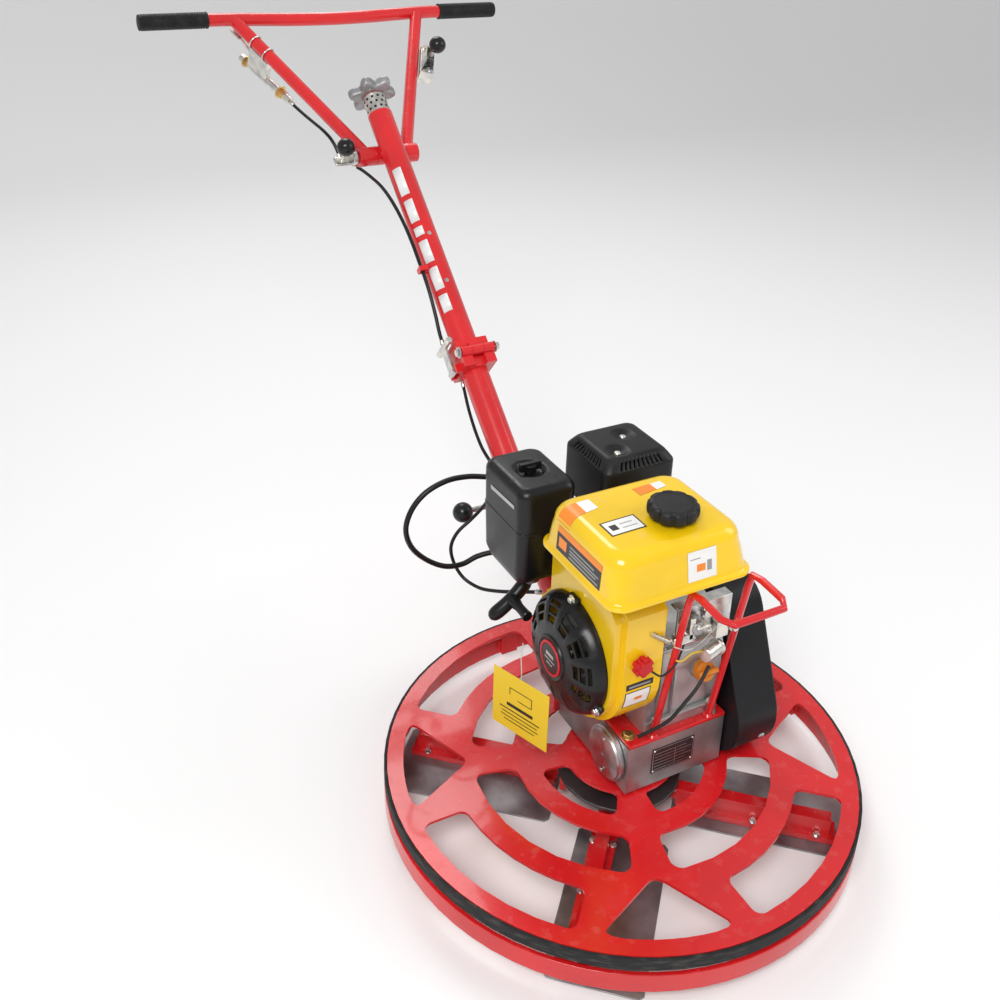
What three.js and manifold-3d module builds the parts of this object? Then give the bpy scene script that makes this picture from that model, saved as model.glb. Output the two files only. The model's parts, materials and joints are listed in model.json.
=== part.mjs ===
// Walk-behind power trowel: a petrol engine on a worm gearbox turns four pitched steel blades inside
// a guard ring, and a folding handle carries the pitch knob, the handlebar and the control levers.
// Millimetres, +Z up, +Y from the guard ring back towards the operator, +X along the crankshaft.
import * as THREE from "three";
import { mergeVertices } from "three/addons/utils/BufferGeometryUtils.js";
import Module from "manifold-3d";

const wasm = await Module();
wasm.setup();

// ---------- driving dimensions ----------
const GAP = 0.3; // between pieces that touch
const RUN = 0.5; // round a shaft or pin that turns
const RING_SIDES = 72; // sides of every large ring

const ringRadius = 320;
const plateTop = 72;
const plateThickness = 4;
const bumperHeight = 18;
const bumperThickness = 4;
const lowerRingBottom = 18.4;
const lowerRingHeight = 27.6;
const lowerRingThickness = 6;
const rimWidth = 26;

const armCount = 4;
const armTurn = 47.5; // degrees from +X to the first arm
const armAxisHeight = 22;
const armShaftRadius = 10;
const armFootWidth = 34;
const bladeLength = 230;
const bladeWidth = 120;
const bladeThickness = 2.5;
const bladeInner = 78; // from the rotor axis to the blade's inner edge
const bladeLead = 36; // from the arm's axis to the blade's leading edge
const hubRadius = 34;
const hubReach = 62;
const outputShaftRadius = 14;

const gearboxLeft = -39;
const gearboxRight = 112;
const gearboxFront = -72;
const gearboxBack = 98;
const gearboxBottom = 76;
const gearboxTop = 149.7;
const gearboxWall = 9;
const gearboxFootRadius = 38;
const wormOffset = 30; // worm axis in front of the output shaft
const wormHeight = 114;
const wormShaftRadius = 8;
const wheelTipRadius = 18.8;

const basePlateThickness = 6;
const crankY = 5;
const crankZ = 268;
const crankRadius = 10;
const cylinderTilt = 25; // degrees above the horizontal, towards the back
const fanWall = 3;
const fanLeft = -82;
const fanRight = -14;
const fanRadius = 92;
const recoilRadius = 80;
const recoilDepth = 34;

const tankSeam = 422;
const tankTop = 484;
const tankWall = 3;
const fillerRadius = 18;
const capRadius = 31;

const drivePulleyRadius = 36;
const drivenPulleyRadius = 31;
const beltX = 138;
const guardLeft = beltX - 23;
const guardRight = beltX + 46;
const beltWidth = 10;
const beltThickness = 6;
const guardWall = 2;

const handleTilt = 40.8; // degrees above the horizontal
const handleFoot = new THREE.Vector3(0, 112, 150);
const tubeRadius = 21;
const tubeWall = 2.5;
const foldAt = 480; // along the handle from its foot to the fold's joint face
const foldPivotUp = tubeRadius + 13;
const tubeEnd = 948;
const collarLength = 38;
const knobRadius = 42;
const knobThickness = 17;
const crossAt = tubeEnd - 61;
const crossDrop = tubeRadius + 6; // from the handle's axis down to the cross tube's axis
const crossRadius = 16;
const crossHalf = tubeRadius + 31.7;
const crossSleeveHalf = tubeRadius + 0.5;
const crossPinRadius = 7;

const barTilt = -5.7; // degrees from the handle's axis to the handlebar's plane
const barReach = 333;
const barHalf = 336; // from the middle to a grip's end
const barRadius = 11.5;
const barBow = 8;
const legRadius = 11;
const legFoot = tubeRadius + 16;
const legTop = 174;
const gripLength = 118;
const gripRadius = 14.2;
const ballRadius = 15;
const bailRadius = 4.75;

// The frame's origin is on the floor under the middle of the whole machine.
const tilt = THREE.MathUtils.degToRad(handleTilt);
const barAngle = THREE.MathUtils.degToRad(handleTilt + barTilt);
const crossY = handleFoot.y + crossAt * Math.cos(tilt) + crossDrop * Math.sin(tilt);
const backEnd = crossY + barReach * Math.cos(barAngle) + gripRadius;
const machineShift = (ringRadius - backEnd) / 2;

// ---------- geometry helpers ----------
const toSolid = (geometry) => {
  const bare = geometry.clone();
  bare.deleteAttribute("normal");
  bare.deleteAttribute("uv");
  const merged = mergeVertices(bare, 1e-4);
  return new wasm.Manifold(
    new wasm.Mesh({
      numProp: 3,
      vertProperties: new Float32Array(merged.attributes.position.array),
      triVerts: new Uint32Array(merged.index.array),
    }),
  );
};

const toGeometry = (solid) => {
  const mesh = solid.getMesh();
  const geometry = new THREE.BufferGeometry();
  geometry.setAttribute("position", new THREE.BufferAttribute(mesh.vertProperties, 3));
  geometry.setIndex(new THREE.BufferAttribute(mesh.triVerts, 1));
  geometry.computeVertexNormals();
  return geometry;
};

// join([...]) and cut(base, [...]) work on geometries and give a geometry back.
const join = (pieces) => toGeometry(pieces.map(toSolid).reduce((a, b) => a.add(b)));
const cut = (base, tools) => toGeometry(tools.map(toSolid).reduce((a, b) => a.subtract(b), toSolid(base)));

const box = (x0, x1, y0, y1, z0, z1) =>
  new THREE.BoxGeometry(x1 - x0, y1 - y0, z1 - z0).translate((x0 + x1) / 2, (y0 + y1) / 2, (z0 + z1) / 2);

// A cylinder or cone from one point to another.
const rod = (from, to, radius, sides = 16, endRadius = radius) => {
  const along = new THREE.Vector3().subVectors(to, from);
  const turn = new THREE.Quaternion().setFromUnitVectors(new THREE.Vector3(0, 1, 0), along.clone().normalize());
  const middle = new THREE.Vector3().addVectors(from, to).multiplyScalar(0.5);
  return new THREE.CylinderGeometry(endRadius, radius, along.length(), sides)
    .applyQuaternion(turn)
    .translate(middle.x, middle.y, middle.z);
};
const at = (x, y, z) => new THREE.Vector3(x, y, z);
const rodX = (x0, x1, y, z, radius, sides, endRadius) => rod(at(x0, y, z), at(x1, y, z), radius, sides, endRadius);
const rodY = (y0, y1, x, z, radius, sides, endRadius) => rod(at(x, y0, z), at(x, y1, z), radius, sides, endRadius);
const rodZ = (z0, z1, x, y, radius, sides, endRadius) => rod(at(x, y, z0), at(x, y, z1), radius, sides, endRadius);
const ball = (centre, radius) => new THREE.SphereGeometry(radius, 12, 8).translate(centre.x, centre.y, centre.z);

// A turned piece round Z from [radius, height] pairs that run up the outside and back to the axis.
const turned = (profile, sides = 24) =>
  new THREE.LatheGeometry(profile.map(([r, z]) => new THREE.Vector2(r, z)), sides).rotateX(Math.PI / 2);
// The same piece lying along +X, starting at x.
const turnedX = (profile, x, y, z, sides) =>
  turned(profile, sides).rotateY(Math.PI / 2).translate(x, y, z);

const ring = (inner, outer, z0, z1, sides = RING_SIDES) =>
  turned([[inner, z0], [outer, z0], [outer, z1], [inner, z1], [inner, z0]], sides);

const plate = (shape, z0, z1, curveSegments = 6) =>
  new THREE.ExtrudeGeometry(shape, { depth: z1 - z0, bevelEnabled: false, curveSegments }).translate(0, 0, z0);
// An outline drawn in (y, z) and extruded along +X.
const plateX = (shape, x0, x1, curveSegments) =>
  plate(shape, 0, x1 - x0, curveSegments).rotateX(Math.PI / 2).rotateZ(Math.PI / 2).translate(x0, 0, 0);

// A round bar or cord along a curve.
const barAlong = (curve, radius, sides, steps) => {
  const section = new THREE.Shape();
  section.absarc(0, 0, radius, 0, Math.PI * 2);
  return new THREE.ExtrudeGeometry(section, { extrudePath: curve, steps, curveSegments: sides });
};

// Straight runs joined by rounded bends of one radius.
const bentPath = (points, bend) => {
  const path = new THREE.CurvePath();
  let from = points[0];
  for (let i = 1; i < points.length - 1; i++) {
    const corner = points[i];
    const enter = corner.clone().lerp(points[i - 1], bend / corner.distanceTo(points[i - 1]));
    const leave = corner.clone().lerp(points[i + 1], bend / corner.distanceTo(points[i + 1]));
    path.add(new THREE.LineCurve3(from, enter));
    path.add(new THREE.QuadraticBezierCurve3(enter, corner, leave));
    from = leave;
  }
  path.add(new THREE.LineCurve3(from, points[points.length - 1]));
  return path;
};

// A block whose rounded rectangular outline changes with height: sections of [z, x0, x1, y0, y1, corner].
const loft = (sections, cornerSteps = 3) => {
  const position = [];
  const index = [];
  const corners = [[1, 1], [0, 1], [0, 0], [1, 0]];
  const perCorner = cornerSteps + 1;
  const count = 4 * perCorner;
  for (const [z, x0, x1, y0, y1, corner] of sections)
    corners.forEach(([right, back], k) => {
      const cx = right ? x1 - corner : x0 + corner;
      const cy = back ? y1 - corner : y0 + corner;
      for (let i = 0; i <= cornerSteps; i++) {
        const angle = (k + i / cornerSteps) * (Math.PI / 2);
        position.push(cx + corner * Math.cos(angle), cy + corner * Math.sin(angle), z);
      }
    });
  for (let s = 0; s + 1 < sections.length; s++)
    for (let i = 0; i < count; i++) {
      const a = s * count + i;
      const b = s * count + ((i + 1) % count);
      index.push(a, b, b + count, a, b + count, a + count);
    }
  const last = (sections.length - 1) * count;
  for (let i = 1; i + 1 < count; i++) index.push(0, i + 1, i, last, last + i, last + i + 1);
  const geometry = new THREE.BufferGeometry();
  geometry.setAttribute("position", new THREE.Float32BufferAttribute(position, 3));
  geometry.setIndex(index);
  return geometry;
};
const shrink = (sections, wall) =>
  sections.map(([z, x0, x1, y0, y1, c]) => [z, x0 + wall, x1 - wall, y0 + wall, y1 - wall, Math.max(c - wall, 1)]);

// The outline round two circles in one plane, like a belt's, each circle [u, v, radius].
const aroundTwo = ([u1, v1, r1], [u2, v2, r2], grow = 0) => {
  const line = Math.atan2(v2 - v1, u2 - u1);
  const spread = Math.acos((r1 - r2) / Math.hypot(u2 - u1, v2 - v1));
  const shape = new THREE.Shape();
  shape.absarc(u2, v2, r2 + grow, line - spread, line + spread, false);
  shape.absarc(u1, v1, r1 + grow, line + spread, line - spread + 2 * Math.PI, false);
  shape.closePath();
  return shape;
};

// ---------- the machine as a tree of groups ----------
const machine = new THREE.Group();
machine.name = "power_trowel";
const chassis = new THREE.Group();
chassis.position.set(0, machineShift, 0);
machine.add(chassis);

const paint = (colour, roughness, metalness) =>
  new THREE.MeshStandardMaterial({ color: colour, roughness, metalness });
const red = paint(0xd3151c, 0.35, 0.1);
const yellow = paint(0xf2c400, 0.35, 0.1);
const black = paint(0x1b1c1e, 0.5, 0.1);
const rubber = paint(0x2b2c2e, 0.85, 0);
const castAluminium = paint(0xa9acad, 0.5, 0.9);
const steel = paint(0x8f9294, 0.4, 0.95);
const zinc = paint(0xc2c4c2, 0.3, 0.95);
const white = paint(0xe6e6e4, 0.4, 0.3);

const add = (name, geometry, material, parent = chassis) => {
  const mesh = new THREE.Mesh(geometry, material);
  mesh.name = name;
  parent.add(mesh);
  return mesh;
};

// Guard plate: a spoked disc with four outer kidneys, four rounded triangles and two inner rings of kidneys.
const polar = (radius, degrees) => {
  const a = THREE.MathUtils.degToRad(degrees);
  return new THREE.Vector2(radius * Math.cos(a), radius * Math.sin(a));
};
// A ring sector with round corners, from an inner to an outer radius and half an angle each way.
const kidney = (inner, outer, middle, half, corner) => {
  const turn = THREE.MathUtils.degToRad(middle);
  const h = THREE.MathUtils.degToRad(half);
  const hole = new THREE.Path();
  const outerTrim = Math.asin(corner / (outer - corner));
  const innerTrim = Math.asin(corner / (inner + corner));
  const centreAt = (r, a) => [r * Math.cos(turn + a), r * Math.sin(turn + a)];
  const [ax, ay] = centreAt(outer - corner, h - outerTrim);
  const [bx, by] = centreAt(inner + corner, h - innerTrim);
  const [cx, cy] = centreAt(inner + corner, -h + innerTrim);
  const [dx, dy] = centreAt(outer - corner, -h + outerTrim);
  hole.absarc(0, 0, outer, turn - h + outerTrim, turn + h - outerTrim, false);
  hole.absarc(ax, ay, corner, turn + h - outerTrim, turn + h + Math.PI / 2, false);
  hole.absarc(bx, by, corner, turn + h + Math.PI / 2, turn + h - innerTrim + Math.PI, false);
  hole.absarc(0, 0, inner, turn + h - innerTrim, turn - h + innerTrim, true);
  hole.absarc(cx, cy, corner, turn - h + innerTrim + Math.PI, turn - h + 1.5 * Math.PI, false);
  hole.absarc(dx, dy, corner, turn - h - Math.PI / 2, turn - h + outerTrim, false);
  return hole;
};
// A rounded triangle with its point inwards and its base along an arc.
const triangle = (apex, outer, middle, half, corner) => {
  const [tip, left, right] = [polar(apex, middle), polar(outer, middle + half), polar(outer, middle - half)];
  const hole = new THREE.Path();
  const near = (p, q) => p.clone().lerp(q, corner / p.distanceTo(q));
  const a0 = THREE.MathUtils.degToRad(middle - half * 0.66);
  const a1 = THREE.MathUtils.degToRad(middle + half * 0.66);
  hole.absarc(0, 0, outer, a0, a1, false);
  const l = near(left, tip);
  const t0 = near(tip, left);
  const t1 = near(tip, right);
  const r = near(right, tip);
  hole.quadraticCurveTo(left.x, left.y, l.x, l.y);
  hole.lineTo(t0.x, t0.y);
  hole.quadraticCurveTo(tip.x, tip.y, t1.x, t1.y);
  hole.lineTo(r.x, r.y);
  hole.quadraticCurveTo(right.x, right.y, outer * Math.cos(a0), outer * Math.sin(a0));
  return hole;
};

const plateOuter = ringRadius - bumperThickness - GAP;
const openingOuter = ringRadius - rimWidth;
const patternTurn = armTurn - 23.85; // the plate's openings, turned from +X
function guardPlate() {
  const edge = Array.from({ length: RING_SIDES }, (_, i) => polar(plateOuter, (360 / RING_SIDES) * i));
  const disc = new THREE.Shape(edge);
  const bore = new THREE.Path();
  bore.absarc(0, 0, 40, 0, Math.PI * 2, true);
  disc.holes.push(bore);
  for (let k = 0; k < 4; k++) {
    const middle = patternTurn + 90 * k;
    disc.holes.push(kidney(openingOuter - 60.4, openingOuter, middle, 23.7, 12));
    disc.holes.push(kidney(145, 202.6, middle, 37.8, 14));
    disc.holes.push(kidney(75, 115, middle, 31.5, 10));
    disc.holes.push(triangle(206, openingOuter, middle + 45, 16, 14));
  }
  const top = plate(disc, plateTop - plateThickness, plateTop, 3);
  const skirtInner = plateOuter - 3;
  const skirt = ring(skirtInner, plateOuter, plateTop - bumperHeight, plateTop - 1);
  return join([top, skirt]);
}
add("guard_plate", guardPlate(), red);
add(
  "rubber_bumper",
  ring(ringRadius - bumperThickness, ringRadius, plateTop - bumperHeight, plateTop - 0.5),
  rubber,
);

// Lower guard ring: a flat bar rolled on edge, with eight welded spacer tabs that reach the plate's underside.
function lowerGuardRing() {
  const inner = ringRadius - lowerRingThickness;
  const pieces = [ring(inner, ringRadius, lowerRingBottom, lowerRingBottom + lowerRingHeight)];
  const tabOuter = plateOuter - 3 - GAP;
  for (let k = 0; k < 8; k++) {
    const tab = box(tabOuter - 8, tabOuter - 2, -14, 14, lowerRingBottom + 3, plateTop - plateThickness - GAP);
    const foot = box(tabOuter - 8, inner + 3, -14, 14, lowerRingBottom + 3, lowerRingBottom + lowerRingHeight - 3);
    const turn = THREE.MathUtils.degToRad(patternTurn + 22.5 + 45 * k);
    pieces.push(tab.rotateZ(turn), foot.rotateZ(turn));
  }
  return join(pieces);
}
add("lower_guard_ring", lowerGuardRing(), red);

// Gearbox: a cast box, open on the left under its round end cover, with bores for the worm and output shafts.
const endCoverRadius = 38;
function gearboxHousing() {
  const w = gearboxWall;
  const outside = join([
    box(gearboxLeft, gearboxRight, gearboxFront, gearboxBack - 30, gearboxBottom, gearboxTop),
    box(gearboxLeft, 60, gearboxBack - 31, gearboxBack, gearboxBottom, gearboxTop),
    rodZ(plateTop + GAP, gearboxBottom + 1, 0, 0, gearboxFootRadius, 24),
  ]);
  return cut(outside, [
    box(gearboxLeft + w, gearboxRight - w, gearboxFront + w, gearboxBack - 40, gearboxBottom + w, gearboxTop - w),
    rodX(gearboxLeft - 1, gearboxLeft + w + 1, -wormOffset, wormHeight, endCoverRadius - 10, 24),
    rodX(gearboxRight - w - 1, gearboxRight + 1, -wormOffset, wormHeight, wormShaftRadius + RUN, 16),
    rodZ(plateTop - 1, gearboxBottom + w + 1, 0, 0, outputShaftRadius + RUN, 20),
  ]);
}
add("gearbox_housing", gearboxHousing(), castAluminium);
const coverFace = gearboxLeft - GAP;
add(
  "gearbox_end_cover",
  turnedX([[0, -10], [endCoverRadius - 3, -10], [endCoverRadius, -8], [endCoverRadius, 0], [0, 0]],
    coverFace, -wormOffset, wormHeight - 1, 28),
  castAluminium,
);

// Engine base plate with its two long edges bolted down on the gearbox.
const baseTop = gearboxTop + GAP + basePlateThickness;
add(
  "engine_base_plate",
  box(gearboxLeft + 1, gearboxRight, gearboxFront - 1, gearboxBack - 22, gearboxTop + GAP, baseTop),
  red,
);

// Rotor: output shaft, worm wheel and the four-socket spider hub.
const rotor = new THREE.Group();
chassis.add(rotor);
add(
  "output_shaft",
  turned([[0, 4], [9, 4], [9, 8], [outputShaftRadius, 8], [outputShaftRadius, 138], [0, 138]], 20),
  steel,
  rotor,
);
function wormWheel() {
  const teeth = 20;
  const outline = new THREE.Shape();
  for (let i = 0; i < teeth * 2; i++) {
    const p = polar(i % 2 ? wheelTipRadius - 1.5 : wheelTipRadius, (i + 0.5) * (180 / teeth));
    if (i) outline.lineTo(p.x, p.y);
    else outline.moveTo(p.x, p.y);
  }
  const bore = rodZ(wormHeight - 11, wormHeight + 11, 0, 0, outputShaftRadius + GAP, 20);
  return cut(plate(outline, wormHeight - 10, wormHeight + 10), [bore]);
}
add("worm_wheel", wormWheel(), steel, rotor);
function spiderHub() {
  const pieces = [rodZ(8, 36, 0, 0, hubRadius, 24)];
  const holes = [rodZ(7, 37, 0, 0, outputShaftRadius + GAP, 20)];
  for (let k = 0; k < armCount; k++) {
    const turn = THREE.MathUtils.degToRad(armTurn + (360 / armCount) * k);
    pieces.push(rodX(20, hubReach, 0, armAxisHeight, armShaftRadius + 4.5, 12).rotateZ(turn));
    holes.push(rodX(21, hubReach + 1, 0, armAxisHeight, armShaftRadius + RUN, 12).rotateZ(turn));
  }
  return cut(join(pieces), holes);
}
add("spider_hub", spiderHub(), red, rotor);

// Thrust collar: slides down the output shaft and presses the four arm fingers.
const collarPlateBottom = 44;
add(
  "thrust_collar",
  turned([
    [outputShaftRadius + RUN, collarPlateBottom], [84, collarPlateBottom], [84, collarPlateBottom + 5],
    [24, collarPlateBottom + 5], [24, 62], [outputShaftRadius + RUN, 62], [outputShaftRadius + RUN, collarPlateBottom],
  ], 28),
  steel,
  rotor,
);

// Arms: a shaft in the hub's socket, a bar along the blade and a finger under the thrust collar.
const bladeTop = bladeThickness + GAP;
const bladeOuter = bladeInner + bladeLength;
function trowelArm() {
  const shaft = rodX(24, 90, 0, armAxisHeight, armShaftRadius, 12);
  const foot = box(bladeInner + 6, bladeOuter - 14, -armFootWidth / 2, armFootWidth / 2, bladeTop, bladeTop + 8);
  const rib = box(bladeInner + 4, bladeOuter - 22, -9, 9, bladeTop + 4, armAxisHeight + 13);
  const finger = box(hubReach + 3, hubReach + 11, 0, 40, armAxisHeight - 2, armAxisHeight + 8);
  const pad = box(hubReach + 3, hubReach + 11, 32, 40, armAxisHeight - 2, collarPlateBottom - GAP);
  return join([shaft, foot, rib, finger, pad]);
}
// Blade: a flat steel plate with clipped corners.
function blade() {
  const outline = new THREE.Shape();
  const clip = 6;
  const [x0, x1, y0, y1] = [bladeInner, bladeOuter, -bladeLead, bladeWidth - bladeLead];
  outline.moveTo(x0 + clip, y0);
  outline.lineTo(x1 - clip, y0);
  outline.lineTo(x1, y0 + clip);
  outline.lineTo(x1, y1 - clip);
  outline.lineTo(x1 - clip, y1);
  outline.lineTo(x0 + clip, y1);
  outline.lineTo(x0, y1 - clip);
  outline.lineTo(x0, y0 + clip);
  return plate(outline, 0, bladeThickness);
}
for (let k = 0; k < armCount; k++) {
  const arm = new THREE.Group();
  arm.rotation.z = THREE.MathUtils.degToRad(armTurn + (360 / armCount) * k);
  rotor.add(arm);
  add("trowel_arm_" + (k + 1), trowelArm(), red, arm);
  add("blade_" + (k + 1), blade(), steel, arm);
}

// Worm shaft with its ring-grooved worm, and the belt drive between it and the crankshaft.
const wormTip = wormOffset - wheelTipRadius - 0.5;
function wormShaft() {
  const profile = [[0, gearboxLeft + 4], [wormShaftRadius, gearboxLeft + 4], [wormShaftRadius, -20]];
  for (let x = -20; x < 20; x += 10)
    profile.push([wormTip - 2, x + 1], [wormTip, x + 3], [wormTip, x + 7], [wormTip - 2, x + 9]);
  profile.push([wormShaftRadius, 20], [wormShaftRadius, guardRight - 14], [0, guardRight - 14]);
  return turnedX(profile, 0, -wormOffset, wormHeight, 16);
}
add("worm_shaft", wormShaft(), steel);
// A V-belt pulley on a shaft along X, with its groove at the belt.
function pulley(radius, bore, reach, y, z) {
  const half = beltWidth / 2;
  const rim = radius + beltThickness / 2;
  return turnedX([
    [bore + GAP, -half - 5], [rim, -half - 5], [rim, -half - GAP], [radius - 3.5, -half + 2],
    [radius - 3.5, half - 2], [rim, half + GAP], [rim, half + 5], [bore + 12, half + 5],
    [bore + 12, reach], [bore + GAP, reach], [bore + GAP, -half - 5],
  ], beltX, y, z, 20);
}
add("driven_pulley", pulley(drivenPulleyRadius, wormShaftRadius, 14, -wormOffset, wormHeight), castAluminium);
add("clutch_drum", pulley(drivePulleyRadius, crankRadius, 30, crankY, crankZ), steel);
function driveBelt() {
  const drive = [crankY, crankZ, drivePulleyRadius];
  const driven = [-wormOffset, wormHeight, drivenPulleyRadius];
  const outline = aroundTwo(driven, drive, beltThickness / 2 - 0.6);
  const inside = aroundTwo(driven, drive, -beltThickness / 2 + 0.4);
  const half = beltWidth / 2 - 2.5;
  return cut(plateX(outline, beltX - half, beltX + half, 8), [plateX(inside, beltX - half - 1, beltX + half + 1, 8)]);
}
add("drive_belt", driveBelt(), rubber);

// Belt guard: a black sheet casing with a round top over the clutch and a round foot over the driven pulley.
function beltGuard() {
  const top = [crankY, crankZ - 3, 52];
  const foot = [-wormOffset - 8, wormHeight + 24, 62];
  const outside = join([
    plateX(aroundTwo(foot, top), guardLeft, guardRight - 5, 8),
    plateX(aroundTwo(foot, top, -5), guardRight - 6, guardRight, 8),
  ]);
  return cut(outside, [
    plateX(aroundTwo(foot, top, -guardWall), guardLeft + guardWall, guardRight - guardWall - 5, 8),
    rodX(guardLeft - 1, guardLeft + 3, crankY, crankZ, 30, 24),
    rodX(guardLeft - 1, guardLeft + 3, -wormOffset, wormHeight, 20, 20),
  ]);
}
add("belt_guard", beltGuard(), black);

// Engine crankcase with its inclined, finned cylinder and head.
const fillerNeckX = 67;
function crankcase() {
  const caseLeft = -34;
  const blockLeft = fanRight + 2;
  const caseRight = 104;
  const pieces = [
    box(blockLeft, caseRight, -62, 62, baseTop + GAP, baseTop + 16),
    rodX(caseLeft, caseRight, crankY, crankZ - 18, 66, 28),
    box(blockLeft, caseRight, -60, 50, baseTop + 12, crankZ - 20),
    rodX(caseRight - 1, guardLeft - GAP, crankY, crankZ, 26, 20),
  ];
  const inclined = [box(blockLeft + 4, 84, 20, 132, -36, 42)];
  for (let fin = 0; fin < 5; fin++) inclined.push(box(blockLeft, 92, 74 + fin * 11, 78 + fin * 11, -44, 50));
  inclined.push(box(blockLeft + 2, 88, 130, 152, -40, 46));
  for (const g of inclined)
    pieces.push(g.rotateX(THREE.MathUtils.degToRad(cylinderTilt)).translate(0, crankY, crankZ));
  pieces.push(rod(at(fillerNeckX, -40, 228), at(fillerNeckX, -66, 238), 13, 12));
  return cut(join(pieces), [
    rodX(caseLeft - 1, guardLeft + 1, crankY, crankZ, crankRadius + RUN, 16),
    rod(at(fillerNeckX, -50, 232), at(fillerNeckX, -68, 239), 8, 12),
  ]);
}
add("crankcase", crankcase(), castAluminium);

// Crank train: shaft, flywheel fan and clutch drum turn together.
add(
  "crankshaft",
  turnedX([[0, -74], [crankRadius, -74], [crankRadius, guardRight - 8], [0, guardRight - 8]], 0, crankY, crankZ, 16),
  steel,
);
function flywheel() {
  const pieces = [turnedX([[0, -60], [78, -60], [78, -42], [20, -42], [20, -38], [0, -38]], 0, crankY, crankZ, 28)];
  for (let k = 0; k < 8; k++) {
    const vane = box(-69, -59, -2, 2, 46, 76);
    vane.rotateX((k / 8) * Math.PI * 2).translate(0, crankY, crankZ);
    pieces.push(vane);
  }
  return cut(join(pieces), [rodX(-61, -37, crankY, crankZ, crankRadius + GAP, 16)]);
}
add("flywheel", flywheel(), castAluminium);

// Fan housing: a yellow shroud round the flywheel that rises to the tank, open towards the crankcase.
const fanTop = 384;
function fanHousing() {
  const outline = (inset) => {
    const r = fanRadius - inset;
    const shape = new THREE.Shape();
    shape.absarc(crankY, crankZ, r, Math.PI, 2 * Math.PI, false);
    shape.lineTo(crankY + r, crankZ + 30);
    shape.lineTo(crankY + r - 22, crankZ + 52);
    shape.lineTo(crankY + r - 22, fanTop - inset);
    shape.lineTo(crankY - r + 12, fanTop - inset);
    shape.lineTo(crankY - r, fanTop - 12 - inset);
    shape.closePath();
    return shape;
  };
  const outside = join([
    plateX(outline(0), fanLeft + 12, fanRight, 9),
    plateX(outline(7), fanLeft, fanLeft + 13, 9),
  ]);
  const caseOpening = box(fanRight - fanWall - 1, fanRight + 1, -64, 75, 150, fanTop - 6);
  return cut(outside, [
    plateX(outline(fanWall + 7), fanLeft + fanWall, fanLeft + 16, 9),
    plateX(outline(fanWall), fanLeft + 12 + fanWall, fanRight - fanWall, 9),
    caseOpening,
    rodX(fanLeft - 1, fanLeft + 4, crankY, crankZ, 70, 28),
  ]);
}
add("fan_housing", fanHousing(), yellow);

// Recoil starter cover: a ribbed black bell with a flat boss for its round emblem.
function recoilCover() {
  const back = fanLeft - GAP;
  const bell = [
    [0, -recoilDepth], [27, -recoilDepth], [30, -recoilDepth + 2], [46, -recoilDepth + 4], [66, -recoilDepth + 10],
    [76, -14], [recoilRadius, -6], [recoilRadius, 0], [70, 0], [66, -12], [44, -recoilDepth + 8], [0, -recoilDepth + 6],
  ];
  const pieces = [turnedX(bell, back, crankY, crankZ, 27)];
  for (const degrees of [30, 150, 270]) {
    const lug = box(-7, 0, -11, 11, recoilRadius - 6, recoilRadius + 6);
    pieces.push(lug.rotateX(THREE.MathUtils.degToRad(degrees)).translate(back, crankY, crankZ));
  }
  const slots = [];
  for (let k = 0; k < 9; k++) {
    const slot = box(-recoilDepth, 2, -6, 6, 50, 64);
    slots.push(slot.rotateX((k / 9) * Math.PI * 2).translate(back, crankY, crankZ));
  }
  const ropePort = rod(at(back - 16, crankY + 58, crankZ), at(back - 16, crankY + 96, crankZ), 8, 12);
  return cut(join(pieces), [...slots, ropePort]);
}
add("recoil_cover", recoilCover(), black);
// The starter's T grip parks at the rope's exit on the bell's back edge.
const gripFoot = at(fanLeft - 18, crankY + recoilRadius + 7, crankZ - 2);
const gripHead = at(fanLeft - 18, crankY + 134, crankZ - 4);
function starterGrip() {
  const across = at(0.77, 0, 0.64).normalize();
  const head = gripHead.clone();
  return join([
    rod(gripFoot, head, 7, 12, 9),
    rod(head.clone().addScaledVector(across, -28), head.clone().addScaledVector(across, 28), 11, 12),
    ball(head.clone().addScaledVector(across, -28), 11),
    ball(head.clone().addScaledVector(across, 28), 11),
  ]);
}
add("starter_grip", starterGrip(), black);

// Fuel tank: two pressings seamed at a flange, hollow, with a filler neck under the cap.
const fillerX = -3;
const fillerY = -63;
function fuelTank() {
  const pan = [
    [390, -92, 56, -84, 22, 18],
    [400, -100, 64, -92, 28, 20],
    [tankSeam - 3, -104, 66, -94, 30, 20],
    [tankSeam - 2, -119, 80, -126, 48, 22],
    [tankSeam + 3, -119, 80, -126, 48, 22],
    [tankSeam + 4, -115, 76, -121, 44, 22],
    [tankTop - 28, -114, 72, -116, 40, 24],
    [tankTop - 10, -110, 65, -108, 34, 22],
    [tankTop - 3, -104, 57, -100, 28, 20],
    [tankTop, -95, 48, -90, 19, 18],
  ];
  const inside = shrink([pan[0], pan[1], pan[2], pan[5], pan[6], pan[7]], tankWall);
  inside[0][0] += tankWall;
  const neck = rodZ(tankTop - 14, tankTop + 3, fillerX, fillerY, fillerRadius + 3, 20);
  return cut(join([loft(pan), neck]), [
    loft(inside),
    rodZ(tankTop - 22, tankTop + 4, fillerX, fillerY, fillerRadius, 20),
  ]);
}
add("fuel_tank", fuelTank(), yellow);
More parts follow.
